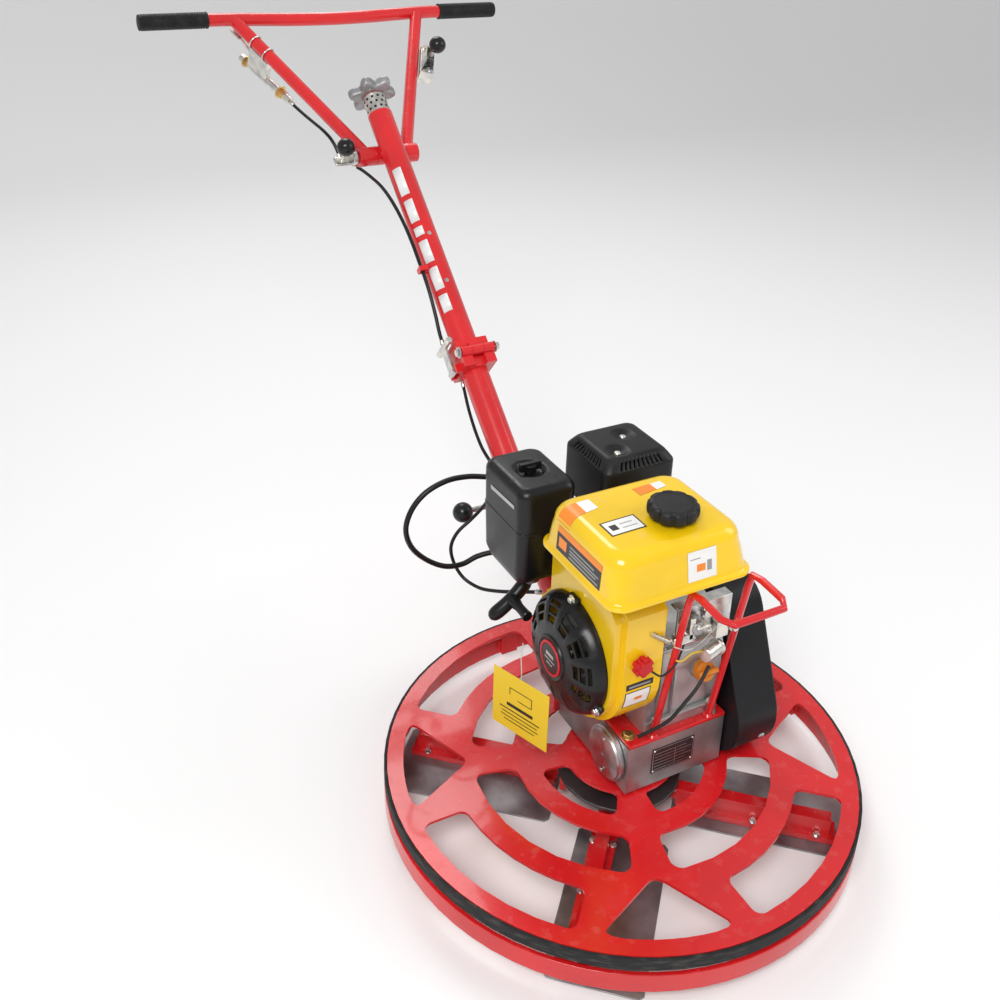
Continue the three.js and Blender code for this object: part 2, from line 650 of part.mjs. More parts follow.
function fuelCap() {
  const lobes = 10;
  const outline = new THREE.Shape();
  for (let k = 0; k < lobes; k++) {
    const a = (k / lobes) * 360;
    const from = polar(capRadius, a);
    const dip = polar(capRadius - 5, a + 180 / lobes);
    if (!k) outline.moveTo(from.x, from.y);
    outline.absarc(0, 0, capRadius, THREE.MathUtils.degToRad(a), THREE.MathUtils.degToRad(a + 22), false);
    outline.lineTo(dip.x, dip.y);
  }
  outline.closePath();
  const low = tankTop + 3 + GAP;
  return join([
    plate(outline, low, low + 16, 2),
    rodZ(low + 15, low + 19, 0, 0, capRadius - 6, 20, capRadius - 12),
    rodZ(tankTop - 10, low + 1, 0, 0, fillerRadius - RUN, 20),
  ]).translate(fillerX, fillerY, 0);
}
add("fuel_cap", fuelCap(), black);

// Air cleaner: a lofted cover over a base that leads to the carburettor, held by a wing nut.
const airX = -84;
const airY = 131;
const airSeam = 402;
const airTop = 468;
function airCleanerCover() {
  const outside = [
    [airSeam, airX - 40, airX + 40, airY - 54, airY + 54, 14],
    [airTop - 15, airX - 41, airX + 41, airY - 55, airY + 55, 16],
    [airTop - 6, airX - 38, airX + 38, airY - 52, airY + 52, 18],
    [airTop, airX - 31, airX + 31, airY - 45, airY + 45, 16],
  ];
  const inside = shrink([outside[0], outside[1], outside[2]], 3);
  inside[0][0] -= 1;
  const dish = turned([[0, airTop - 6], [14, airTop - 6], [19, airTop + 1], [0, airTop + 1]], 16).translate(airX, airY, 0);
  const stud = rodZ(airTop - 20, airTop, airX, airY, 4.5, 10);
  return cut(loft(outside), [loft(inside), dish, stud]);
}
add("air_cleaner_cover", airCleanerCover(), black);
function airCleanerBase() {
  const block = [
    [326, airX - 34, airX + 32, airY - 44, airY + 46, 12],
    [340, airX - 39, airX + 38, airY - 52, airY + 52, 14],
    [airSeam - GAP, airX - 40, airX + 40, airY - 54, airY + 54, 14],
  ];
  const loop = new THREE.Shape();
  loop.absarc(airY, 330, 34, Math.PI, 2 * Math.PI, false);
  loop.closePath();
  const eye = new THREE.Path();
  eye.absarc(airY, 314, 11, 0, 2 * Math.PI, true);
  loop.holes.push(eye);
  return join([
    loft(block),
    plateX(loop, airX - 4, airX + 4, 8),
    rodZ(airSeam - 5, airTop, airX, airY, 3.5, 10),
    rodX(airX + 20, airX + 48, airY - 10, 345, 15, 16),
  ]);
}
add("air_cleaner_base", airCleanerBase(), black);
function wingNut() {
  const foot = airTop - 6 + GAP;
  const pieces = [rodZ(foot, foot + 11, 0, 0, 8, 12), box(-15, 15, -3, 3, foot + 3, foot + 14)];
  return cut(join(pieces), [rodZ(foot - 1, airTop + 1, 0, 0, 3.5 + RUN, 10)]).translate(airX, airY, 0);
}
add("air_cleaner_wing_nut", wingNut(), black);

// Carburettor between the air cleaner's elbow and the cylinder's inlet.
const carbLeft = airX + 48 + GAP;
const carbRight = -10;
add(
  "carburettor",
  join([
    rodX(carbLeft, carbRight, airY - 10, 345, 15, 16),
    box(carbLeft + 4, carbRight - 2, airY - 26, airY + 4, 322, 341),
    rodZ(300, 324, (carbLeft + carbRight) / 2, airY - 12, 9, 12),
  ]),
  castAluminium,
);

// Muffler inside its louvred black guard.
const mufflerTop = 486;
function mufflerGuard() {
  const outside = [
    [mufflerTop - 82, -10, 98, 66, 172, 12],
    [mufflerTop - 14, -10, 98, 66, 172, 12],
    [mufflerTop - 4, -7, 95, 69, 169, 13],
    [mufflerTop, 2, 86, 78, 160, 12],
  ];
  const inside = shrink([outside[0], outside[1], outside[2]], 2);
  inside[0][0] -= 1;
  const slots = [];
  for (let k = 0; k < 7; k++) {
    slots.push(box(8 + k * 11, 13 + k * 11, 60, 76, mufflerTop - 15, mufflerTop - 3));
    slots.push(box(-15, 0, 84 + k * 11, 89 + k * 11, mufflerTop - 15, mufflerTop - 3));
  }
  return cut(loft(outside), [loft(inside), ...slots]);
}
add("muffler_guard", mufflerGuard(), black);
add(
  "muffler_body",
  join([
    loft([[408, 5, 84, 80, 158, 18], [466, 5, 84, 80, 158, 18]]),
    rod(at(40, 112, 410), at(40, 99, 378), 15, 16),
    box(22, 58, 86, 120, 403, 409),
  ]),
  steel,
);

// Governor and throttle control plate on the front of the cylinder block, with its swinging arm.
const controlFront = -78;
add(
  "control_plate",
  join([
    box(10, 92, controlFront, controlFront + 3, 300, 356),
    box(10, 92, controlFront, controlFront + 16, 353, 356),
    rodY(controlFront - 8, controlFront, 24, 318, 6, 12),
    box(61, 80, controlFront - 14, controlFront + 1, 306, 330),
    box(20, 70, controlFront + 2, -58, 296, 304),
  ]),
  zinc,
);
const throttlePivot = at(52, controlFront, 344);
add(
  "engine_throttle_arm",
  join([
    box(-6, 6, -8, -5, -26, 8),
    rodY(-12, -5, 0, 0, 7, 12),
    rodY(-16, -6, 0, -22, 3, 8),
  ]).translate(throttlePivot.x, throttlePivot.y + 4.5, throttlePivot.z),
  zinc,
);

// Engine switch: a red lobed knob on the front of the fan housing.
const switchFace = crankY - fanRadius - GAP;
function switchKnob() {
  const pieces = [rodY(switchFace - 14, switchFace, 0, 0, 9, 16)];
  for (let k = 0; k < 6; k++)
    pieces.push(box(-3, 3, switchFace - 12, switchFace - 2, 5, 13).rotateY((k / 6) * Math.PI * 2));
  return join(pieces).translate(-48, 0, 304);
}
add("engine_switch_knob", switchKnob(), red);
function oilFillerCap() {
  const along = at(0, -26, 10).normalize();
  const face = at(fillerNeckX, -66, 238);
  return join([
    rod(face.clone().addScaledVector(along, GAP), face.clone().addScaledVector(along, 12), 14, 12),
    rod(face.clone().addScaledVector(along, -11), face.clone().addScaledVector(along, 1), 7, 12),
  ]);
}
add("oil_filler_cap", oilFillerCap(), paint(0xe8821e, 0.5, 0));

// Lifting bail: one bent round bar standing on the base plate's front edge.
const bailLeft = 0.3;
const bailRight = 88.6;
const bailFoot = baseTop + GAP + 1; // the leaning legs' lower edges clear the plate
const bailPath = bentPath([
  at(bailLeft, -67, bailFoot), at(bailLeft, -110, 409), at(bailLeft, -178, 404),
  at(bailRight, -178, 404), at(bailRight, -110, 409), at(bailRight, -67, bailFoot),
], 11);
add("lifting_bail", barAlong(bailPath, bailRadius, 4, 40), red);

// ---------- handle ----------
const handle = new THREE.Group();
handle.position.copy(handleFoot);
handle.rotation.x = tilt;
chassis.add(handle);

const hollowTube = (from, to, radius, wall) => [
  rodY(from, to, 0, 0, radius, 20),
  rodY(from - 1, to + 1, 0, 0, radius - wall, 20),
];

// Lower handle: the socket plates bolted to the gearbox's back, the tube, and the fixed half of the fold clamp.
const clampHalf = tubeRadius + 6;
const latchX = -clampHalf - 7;
function lowerHandle() {
  const [tube, bore] = hollowTube(4, foldAt - GAP / 2, tubeRadius, tubeWall);
  const toHandle = (g) => g.translate(0, -handleFoot.y, -handleFoot.z).rotateX(-tilt);
  const cheek = new THREE.Shape();
  const back = gearboxBack + GAP;
  cheek.moveTo(back, gearboxBottom + 6);
  cheek.lineTo(back + 34, gearboxBottom + 30);
  cheek.lineTo(back + 52, gearboxTop + 22);
  cheek.lineTo(back, gearboxTop - 2);
  const pieces = [
    tube,
    toHandle(box(-44, 44, back, back + 6, gearboxBottom + 4, gearboxTop - 4)),
    toHandle(plateX(cheek, -tubeRadius - 3, -tubeRadius + 4)),
    toHandle(plateX(cheek, tubeRadius - 4, tubeRadius + 3)),
    box(-clampHalf, clampHalf, foldAt - 24, foldAt - GAP / 2, -26, 26),
    box(-clampHalf, -10, foldAt - 24, foldAt - 2, 18, foldPivotUp),
    box(10, clampHalf, foldAt - 24, foldAt - 2, 18, foldPivotUp),
    rodX(-clampHalf, -10, foldAt, foldPivotUp, 8, 12),
    rodX(10, clampHalf, foldAt, foldPivotUp, 8, 12),
    rodX(-clampHalf - 3, clampHalf + 3, foldAt, foldPivotUp, 4, 10),
    box(-clampHalf - 8, -clampHalf + 1, foldAt - 24, foldAt - 10, -16, -11),
    box(-clampHalf - 8, -clampHalf + 1, foldAt - 24, foldAt - 10, 11, 16),
    rodX(-tubeRadius - 12, -tubeRadius + 2, 246, 0, 8, 12),
  ];
  return cut(join(pieces), [bore, rodX(-tubeRadius - 13, -tubeRadius + 4, 246, 0, 4 + RUN, 10)]);
}
add("lower_handle", lowerHandle(), red, handle);

// The sprung lock pin near the handle's foot, with a ball knob on its rod.
add(
  "handle_lock_pin",
  join([rodX(-86, -tubeRadius + 1, 246, 0, 4, 10), ball(at(-96, 246, 0), ballRadius)]),
  black,
  handle,
);

// Fold latch: a lever that swings out sideways from the fixed half and hooks over the upper half.
add(
  "fold_latch_lever",
  join([
    rodZ(-10.5, 10.5, latchX - 1, foldAt - 17, 5, 12),
    box(latchX - 4, latchX, foldAt - 17, foldAt + 26, -9, 9),
    rodZ(-24, 30, latchX - 2, foldAt + 26, 5, 12),
  ]),
  zinc,
  handle,
);

// Upper handle: clamp half, tube, cross sleeve, cable guide and the collar that carries the knob's screw.
const screwRadius = 6;
const guideAt = 642; // the cable guide's place along the handle
const collarEnd = tubeEnd + collarLength;
function upperHandle() {
  const [tube, bore] = hollowTube(foldAt + GAP / 2, tubeEnd, tubeRadius, tubeWall);
  const pieces = [
    tube,
    box(-clampHalf, clampHalf, foldAt + GAP / 2, foldAt + 24, -26, 26),
    box(-9.4, 9.4, foldAt + GAP / 2, foldAt + 14, 18, foldPivotUp),
    rodX(-9.4, 9.4, foldAt, foldPivotUp, 8, 12),
    rodY(tubeEnd - 12, collarEnd, 0, 0, tubeRadius - 2, 20),
    rodX(-crossSleeveHalf, crossSleeveHalf, crossAt, -crossDrop, crossRadius, 20),
    box(-tubeRadius - 14, -tubeRadius + 2, guideAt - 4, guideAt + 4, 2, 16),
  ];
  return cut(join(pieces), [
    rodY(foldAt - 1, tubeEnd - 12, 0, 0, tubeRadius - tubeWall, 20),
    rodY(tubeEnd - 13, collarEnd + 1, 0, 0, screwRadius + RUN, 12),
    rodX(-crossSleeveHalf - 1, crossSleeveHalf + 1, crossAt, -crossDrop, crossPinRadius + RUN, 16),
    rodX(-10, 10, foldAt, foldPivotUp, 4 + RUN, 10),
    rodY(guideAt - 5, guideAt + 5, -29, 9, 4.2, 10),
  ]);
}
add("upper_handle", upperHandle(), red, handle);

// Pitch knob: a six-lobed cast star on the pitch screw.
function pitchKnob() {
  const low = collarEnd + GAP;
  const outline = new THREE.Shape();
  const lobes = 6;
  for (let k = 0; k < lobes; k++) {
    const lobe = polar(knobRadius - 10, (360 / lobes) * k);
    const a = THREE.MathUtils.degToRad((360 / lobes) * k);
    const dip = polar(knobRadius - 18, (360 / lobes) * (k + 0.5));
    outline.absarc(lobe.x, lobe.y, 10, a - 1.5, a + 1.5, false);
    outline.lineTo(dip.x, dip.y);
  }
  outline.closePath();
  const star = plate(outline, 0, knobThickness, 6).rotateX(-Math.PI / 2).translate(0, low, 0);
  return join([
    star,
    rodY(low + knobThickness - 1, low + knobThickness + 5, 0, 0, 16, 16),
    rodY(tubeEnd - 8, low + 1, 0, 0, screwRadius, 12),
  ]);
}
add("pitch_knob", pitchKnob(), white, handle);

// ---------- handlebar ----------
const bar = new THREE.Group();
bar.position.set(0, crossAt, -crossDrop);
bar.rotation.x = THREE.MathUtils.degToRad(barTilt);
handle.add(bar);

const gripInner = barHalf - gripLength;
function handlebarFrame() {
  const curve = new THREE.CatmullRomCurve3([
    at(-barHalf + 5, barReach, 0), at(-gripInner, barReach, 0), at(-legTop, barReach - 0.5, 0),
    at(-legTop / 2, barReach - barBow * 0.72, 0), at(0, barReach - barBow, 0),
    at(legTop / 2, barReach - barBow * 0.72, 0), at(legTop, barReach - 0.5, 0),
    at(gripInner, barReach, 0), at(barHalf - 5, barReach, 0),
  ]);
  const pieces = [
    barAlong(curve, barRadius, 6, 16),
    rodX(-crossHalf, -crossSleeveHalf - GAP, 0, 0, crossRadius, 20),
    rodX(crossSleeveHalf + GAP, crossHalf, 0, 0, crossRadius, 20),
    rodX(-crossHalf + 1, crossHalf - 1, 0, 0, crossPinRadius, 16),
  ];
  for (const side of [-1, 1]) pieces.push(rod(at(side * legFoot, 6, 0), at(side * legTop, barReach, 0), legRadius, 12));
  return join(pieces);
}
add("handlebar_frame", handlebarFrame(), red, bar);
for (const [name, side] of [["grip_left", -1], ["grip_right", 1]]) {
  const inner = barRadius + GAP;
  const profile = [
    [inner, 0], [gripRadius, 0], [gripRadius, gripLength - 3], [gripRadius - 3, gripLength],
    [0, gripLength], [0, gripLength - 4.5], [inner, gripLength - 4.5], [inner, 0],
  ];
  const grip = turned(profile, 16).rotateY((side * Math.PI) / 2).translate(side * (barHalf - gripLength), barReach, 0);
  add(name, grip, rubber, bar);
}

// A group at a share of the way up a leg: y along the leg, z out of the handlebar's plane.
const legLength = Math.hypot(legTop - legFoot, barReach);
const onLeg = (side, share) => {
  const group = new THREE.Group();
  group.position.set(side * (legFoot + (legTop - legFoot) * share), barReach * share, 0);
  group.rotation.z = -side * Math.atan2(legTop - legFoot, barReach);
  bar.add(group);
  return group;
};
const legClear = legRadius + GAP;

// Throttle: a box on the right leg's outer side with a ball-ended lever standing out of its slot.
const rightLeg = onLeg(1, 0.645);
add(
  "throttle_box",
  cut(box(legClear, 36, -42, 28, -14, 14), [box(23, 34.4, -20, 25, -6, 15)]),
  zinc,
  rightLeg,
);
add(
  "throttle_lever",
  join([
    rodX(23 + RUN, 33 - RUN, 3, 1, 6, 12),
    rod(at(28, 3, 1), at(33, 3, 38), 3.2, 10),
    ball(at(35, 3, 42), ballRadius),
  ]),
  black,
  rightLeg,
);

// Clutch lever: pivoted under the left leg on a clip bracket that also holds the cable's adjuster.
const leftLeg = onLeg(-1, 0.775);
const clutchPivotDrop = 39;
add(
  "clutch_lever_bracket",
  join([
    box(-6, -3, -24, 24, -52, -legClear),
    box(3, 6, -24, 24, -52, -legClear),
    box(-6, 6, -24, -17, -52, -legClear),
    rod(at(0, 46, -58), at(0, -88, -45), 7, 12),
  ]),
  steel,
  leftLeg,
);
add(
  "clutch_lever",
  join([
    rodX(-2.4, 2.4, 0, -clutchPivotDrop + 4, 9, 14),
    rod(at(0, 4, -clutchPivotDrop + 7), at(0, 62, -21), 2.4, 8),
    box(-6, 6, 52, 78, -22, -18),
  ]),
  zinc,
  leftLeg,
);

// Tilt lock: a clamp screw's flat lever on the cross tube's left end, with a ball knob standing on it.
add(
  "tilt_lock_lever",
  join([
    rodX(-crossHalf - 10, -crossHalf - 2, 0, 0, 11, 16), // clear of the leg's foot, which stands proud
    box(-crossHalf - 40, -crossHalf - 4, -9, 9, -9, -2),
    rodZ(-4, 16, -crossHalf - 25, 2, 4, 10),
    ball(at(-crossHalf - 25, 2, 26), ballRadius),
  ]),
  zinc,
  bar,
);

// ---------- cables and tag ----------
const cord = (points, radius, sides, steps) => barAlong(new THREE.CatmullRomCurve3(points), radius, sides, steps);

// Clutch cable on the handlebar: from the adjuster's end down beside the left leg to the cross tube.
add(
  "clutch_cable_bar",
  cord([
    at(-110.4, 174.8, -45), at(-104, 158, -43), at(-97, 136, -38), at(-90, 112, -31),
    at(-82, 86, -24), at(-75, 62, -22), at(-70, 44, -28), at(-67, 32, -36),
  ], 3, 4, 20),
  rubber,
  bar,
);
// Along the upper handle: past the cross tube, through the guide and down the tube's left side.
add(
  "clutch_cable_handle",
  cord([
    at(-50, 897, -62), at(-41, 882, -56), at(-34, 852, -40), at(-31.5, 821, -22),
    at(-30, 780, -6), at(-29, 730, 5), at(-29, 690, 9), at(-29, 655, 9), at(-29, 630, 9),
    at(-28.5, 600, 5), at(-28, 565, -4), at(-28, 540, -12), at(-26, 520, -20),
  ], 3, 4, 44),
  rubber,
  handle,
);
// The clutch cable's loop beside the engine, from under the lower tube round to the fan housing's back.
add(
  "clutch_cable_engine",
  cord([
    at(-13, 474, 427), at(-20, 432, 392), at(-28, 376, 365), at(-30, 322, 347), at(-44, 298, 340),
    at(-66, 281, 331), at(-82, 272, 325), at(-100, 266, 317), at(-120, 266, 302),
    at(-129, 268, 280), at(-127, 264, 256), at(-117, 252, 233), at(-104, 230, 226), at(-91, 200, 235),
    at(-73, 160, 254), at(-59, 130, 269),
  ], 2.6, 4, 52),
  rubber,
);
// The pitch cable's big loop: out of the lower tube, round to the left and back under the air cleaner.
add(
  "pitch_cable",
  cord([
    at(-26, 292, 346), at(-48, 266, 378), at(-82, 250, 392), at(-113, 250, 400), at(-146, 250, 401), at(-178, 250, 389),
    at(-198, 250, 367), at(-206, 250, 340), at(-199, 250, 311), at(-178, 250, 284), at(-146, 250, 262),
    at(-119, 250, 258), at(-95, 248, 266), at(-66, 238, 270), at(-40, 218, 258), at(-31, 196, 238),
  ], 4, 4, 44),
  rubber,
);

// Caution tag: a card on a thin string that hangs from the recoil cover.
const tagX = -134;
function cautionTag() {
  const card = box(-1, 1, -47, 47, 118, 210);
  const strap = cord([at(18, 14, 252), at(8, 8, 238), at(0, 0, 222), at(0, 0, 206)], 1, 4, 12);
  return join([card, strap]).rotateZ(THREE.MathUtils.degToRad(21)).translate(tagX, 44, 0);
}
add("caution_tag", cautionTag(), paint(0xe9c814, 0.6, 0));

export default machine;
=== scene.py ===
import json
import math

import bmesh
import bpy
from mathutils import Matrix, Vector
from mathutils.bvhtree import BVHTree


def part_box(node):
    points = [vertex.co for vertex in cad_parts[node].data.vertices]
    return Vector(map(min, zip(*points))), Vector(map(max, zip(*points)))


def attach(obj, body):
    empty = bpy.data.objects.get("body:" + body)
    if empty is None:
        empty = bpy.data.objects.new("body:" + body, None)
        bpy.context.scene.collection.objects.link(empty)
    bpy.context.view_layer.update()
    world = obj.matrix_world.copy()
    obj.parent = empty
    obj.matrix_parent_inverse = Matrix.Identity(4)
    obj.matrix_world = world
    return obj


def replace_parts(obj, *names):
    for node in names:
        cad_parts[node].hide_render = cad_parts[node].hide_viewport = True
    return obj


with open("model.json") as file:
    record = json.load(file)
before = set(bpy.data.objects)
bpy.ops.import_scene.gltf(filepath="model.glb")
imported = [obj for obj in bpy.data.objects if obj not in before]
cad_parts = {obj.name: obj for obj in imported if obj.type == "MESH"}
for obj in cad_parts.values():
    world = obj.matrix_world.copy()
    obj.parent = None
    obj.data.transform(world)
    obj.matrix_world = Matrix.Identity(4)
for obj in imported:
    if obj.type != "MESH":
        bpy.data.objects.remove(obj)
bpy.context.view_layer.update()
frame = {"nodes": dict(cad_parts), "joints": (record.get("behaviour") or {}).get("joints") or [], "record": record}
nodes = frame["nodes"]
joints = {joint["name"]: joint for joint in frame["joints"]}
body_of = {
    node: body
    for body, members in frame["record"]["behaviour"]["bodies"].items()
    for node in members
}

# The viewpoint: in front of the machine and to its left, looking down over the guard along the handle.
# Lengths on the machine are written in millimetres from the rotor's axis at the floor.
rotor_axis = Vector(joints["rotor_spin"]["pos_m"])


def spot(x, y, z):
    """A point on the machine, from millimetres off the rotor's axis to metres in the frame."""
    return Vector((x * 0.001 + rotor_axis.x, y * 0.001 + rotor_axis.y, z * 0.001))


camera_data = bpy.data.cameras.new("camera")
camera_data.lens = 40.35
camera_data.sensor_width = 36
camera_data.shift_x = -0.0012
camera_data.shift_y = -0.1145
camera = bpy.data.objects.new("camera", camera_data)
bpy.context.scene.collection.objects.link(camera)
bpy.context.scene.camera = camera
azimuth, elevation, roll = (math.radians(angle) for angle in (-28.34, 25.39, 1.69))
behind = Vector(
    (math.sin(azimuth) * math.cos(elevation), -math.cos(azimuth) * math.cos(elevation), math.sin(elevation))
)
level = Vector((math.cos(azimuth), math.sin(azimuth), 0))
upward = behind.cross(level)
across = level * math.cos(roll) + upward * math.sin(roll)
upward = upward * math.cos(roll) - level * math.sin(roll)
camera.matrix_world = Matrix((across, upward, behind)).transposed().to_4x4()
camera.location = spot(-710.5, -946.5, 1174.3)

# Gearbox: a cast aluminium case with a machined front face, which carries the output shaft under it
# and the worm across it. The engine's red base plate is bolted on its top.


class Field:
    """A value or colour that varies over a surface; arithmetic on it adds Math nodes."""

    def __init__(self, finish, socket):
        self.finish = finish
        self.socket = socket

    def _math(self, operation, first, second):
        return self.finish.node("ShaderNodeMath", {"operation": operation}, {0: first, 1: second})

    def __add__(self, other):
        return self._math("ADD", self, other)

    def __sub__(self, other):
        return self._math("SUBTRACT", self, other)

    def __rsub__(self, other):
        return self._math("SUBTRACT", other, self)

    def __mul__(self, other):
        return self._math("MULTIPLY", self, other)

    def __truediv__(self, other):
        return self._math("DIVIDE", self, other)

    def __rtruediv__(self, other):
        return self._math("DIVIDE", other, self)

    def __pow__(self, other):
        return self._math("POWER", self, other)

    __radd__ = __add__
    __rmul__ = __mul__

    def between(self, low, high):
        """0 where the value is low or less, 1 where it is high or more."""
        return self.finish.node(
            "ShaderNodeMapRange", {"interpolation_type": "SMOOTHSTEP"}, {0: self, 1: low, 2: high},
        )


class Finish:
    """A surface finish: one material whose varying inputs are fed by fields."""

    def __init__(self, name, colour, roughness, **constants):
        self.material = bpy.data.materials.new(name)
        self.material.use_nodes = True
        self.material.diffuse_color = (*colour, 1)
        self.tree = self.material.node_tree
        self.shader = self.tree.nodes["Principled BSDF"]
        self.feed("Base Color", (*colour, 1))
        self.feed("Roughness", roughness)
        for socket, value in constants.items():
            self.feed(socket.replace("_", " ").title().replace("Ior", "IOR"), value)
        self.place = self.node("ShaderNodeTexCoord", out="Object")

    def put(self, socket, value):
        if isinstance(value, Field):
            self.tree.links.new(value.socket, socket)
        else:
            socket.default_value = value

    def feed(self, name, value):
        self.put(self.shader.inputs[name], value)

    def node(self, kind, settings=(), sockets=(), out=0, stops=()):
        """Any node: its settings and ramp stops first, then the values or links of its sockets."""
        made = self.tree.nodes.new(kind)
        for key, value in dict(settings).items():
            setattr(made, key, value)
        for index, (position, colour) in enumerate(stops):
            ramp = made.color_ramp.elements
            stop = ramp[index] if index < len(ramp) else ramp.new(position)
            stop.position, stop.color = position, colour
        for key, value in dict(sockets).items():
            self.put(made.inputs[key], value)
        return Field(self, made.outputs[out])

    def stretched(self, x, y, z):
        """The place on the object, stretched or squeezed along each axis."""
        return self.node("ShaderNodeVectorMath", {"operation": "MULTIPLY"}, {0: self.place, 1: (x, y, z)})

    def noise(self, scale, detail=3, place=None):
        sockets = {"Vector": place or self.place, "Scale": scale, "Detail": detail}
        return self.node("ShaderNodeTexNoise", (), sockets)

    def cells(self, scale, place=None):
        return self.node("ShaderNodeTexVoronoi", (), {"Vector": place or self.place, "Scale": scale})

    def mixed(self, amount, first, second):
        colours = [c if isinstance(c, Field) else (*c, 1) for c in (first, second)]
        return self.node(
            "ShaderNodeMix", {"data_type": "RGBA"}, {0: amount, 6: colours[0], 7: colours[1]}, out=2,
        )

    def facing_up(self):
        normal = self.node("ShaderNodeNewGeometry", out="Normal")
        return self.node("ShaderNodeSeparateXYZ", (), {0: normal}, out=2)

    def bump(self, height, distance, strength=1.0):
        sockets = {"Height": height, "Distance": distance, "Strength": strength}
        self.feed("Normal", self.node("ShaderNodeBump", (), sockets))


def cast_metal(name, colour, grain=1.0, metallic=0.9):
    """Sand-cast or die-cast metal: grainy and pitted, a little uneven in tone in random patches."""
    cast = Finish(name, colour, 0.5, metallic=metallic)
    patches = cast.noise(22, 5)
    grit = cast.noise(900, 3)
    pits = cast.cells(520)
    darker = tuple(c * 0.66 for c in colour)
    cast.feed("Base Color", cast.mixed(patches.between(0.3, 0.68), darker, colour))
    cast.feed("Roughness", patches * 0.22 + grit * 0.18 + 0.24)
    cast.bump(grit * 0.7 + pits * 0.5, 0.0004 * grain, 0.55)
    return cast


def machined_metal(name, colour, lines=(30, 30, 900), roughness=0.3):
    """Milled or ground metal: fine parallel tool marks and a soft sheen."""
    milled = Finish(name, colour, roughness, metallic=1.0)
    marks = milled.noise(1, 4, milled.stretched(*lines))
    smear = milled.noise(14, 4)
    darker = tuple(c * 0.72 for c in colour)
    milled.feed("Base Color", milled.mixed(smear.between(0.35, 0.7), darker, colour))
    milled.feed("Roughness", marks * 0.16 + smear * 0.14 + roughness - 0.1)
    milled.bump(marks, 0.00006, 0.5)
    return milled


def finished(name, shape, finish, body, smooth=38):
    """Makes the built shape a piece: smooth across soft angles, in its finish, riding on its body."""
    mesh = bpy.data.meshes.new(name)
    bmesh.ops.recalc_face_normals(shape, faces=shape.faces)
    shape.to_mesh(mesh)
    shape.free()
    for polygon in mesh.polygons:
        polygon.use_smooth = True
    mesh.set_sharp_from_angle(angle=math.radians(smooth))
    for layer in finish if isinstance(finish, (list, tuple)) else [finish]:
        mesh.materials.append(layer.material)
    piece = bpy.data.objects.new(name, mesh)
    bpy.context.scene.collection.objects.link(piece)
    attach(piece, body)
    return piece


def dressed(node, finish, ease=0.0012, segments=2, angle=34, name=None):
    """The node's own body with its sharp edges eased, as a casting's, a pressing's or a weldment's are."""
    shape = bmesh.new()
    shape.from_mesh(nodes[node].data)
    bmesh.ops.remove_doubles(shape, verts=shape.verts, dist=0.00002)
    bmesh.ops.dissolve_limit(shape, angle_limit=math.radians(0.6), verts=shape.verts, edges=shape.edges)
    sharp = [
        e
        for e in shape.edges if len(e.link_faces) == 2 and e.calc_face_angle(0) > math.radians(angle)
    ]
    bmesh.ops.bevel(
        shape, geom=sharp, offset=ease, offset_type="OFFSET", segments=segments,
        profile=0.5, affect="EDGES", clamp_overlap=True,
    )
    piece = finished(
        name or node + "_finished", shape, finish, body_of[node], smooth=angle + 6,
    )
    weighted = piece.modifiers.new("flat faces stay flat", "WEIGHTED_NORMAL")
    weighted.keep_sharp = True
    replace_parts(piece, node)
    return piece


def plain(node, finish):
    """An inner body that keeps its own shape and only takes a finish."""
    nodes[node].data.materials.clear()
    nodes[node].data.materials.append(finish.material)


case_metal = cast_metal("gearbox casting", (0.45, 0.455, 0.46))
dressed("gearbox_housing", case_metal, 0.002)
shaft_steel = machined_metal("shaft steel", (0.5, 0.5, 0.5))
for inner in ("output_shaft", "worm_shaft"):
    plain(inner, shaft_steel)
dark_iron = cast_metal("bronze and iron", (0.2, 0.19, 0.17))
plain("worm_wheel", dark_iron)


def turned(name, profile, place, axis, finish, body, sides=48, smooth=38):
    """A piece turned on a lathe: (radius, height) pairs in millimetres round an axis from a place."""
    shape = bmesh.new()
    turn = Vector((0, 0, 1)).rotation_difference(Vector(axis).normalized()).to_matrix()
    rows = []
    for radius, height in profile:
        if radius <= 0:
            rows.append([shape.verts.new(place + turn @ Vector((0, 0, height * 0.001)))])
            continue
        row = []
        for k in range(sides):
            around = 2 * math.pi * k / sides
            at = Vector((radius * math.cos(around), radius * math.sin(around), height)) * 0.001
            row.append(shape.verts.new(place + turn @ at))
        rows.append(row)
    for low, high in zip(rows, rows[1:]):
        for k in range(sides):
            corners = [
                low[k % len(low)], low[(k + 1) % len(low)], high[(k + 1) % len(high)], high[k % len(high)],
            ]
            corners = list(dict.fromkeys(corners))
            if len(corners) > 2:
                shape.faces.new(corners)
    return finished(name, shape, finish, body, smooth)


# The worm's end cover: a turned aluminium disc with a stepped rim, a centre mark and two screw heads.
cover_metal = Finish("turned cover", (0.62, 0.62, 0.61), 0.3, metallic=1.0)
end_lo, end_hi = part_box("gearbox_end_cover")
end_middle = (end_lo + end_hi) / 2
radius_out = cover_metal.node(
    "ShaderNodeVectorMath", {"operation": "DISTANCE"},
    {0: cover_metal.stretched(0, 1, 1), 1: (0, end_middle.y, end_middle.z)}, out="Value",
)
rings = cover_metal.node("ShaderNodeMath", {"operation": "SINE"}, {0: radius_out * 9000})
cover_patches = cover_metal.noise(30, 4)
cover_metal.feed("Roughness", rings * 0.05 + cover_patches * 0.3 + 0.2)
cover_metal.feed(
    "Base Color", cover_metal.mixed(cover_patches.between(0.35, 0.65), (0.4, 0.4, 0.4), (0.62, 0.62, 0.61)),
)
cover_metal.bump(rings, 0.00003, 0.4)
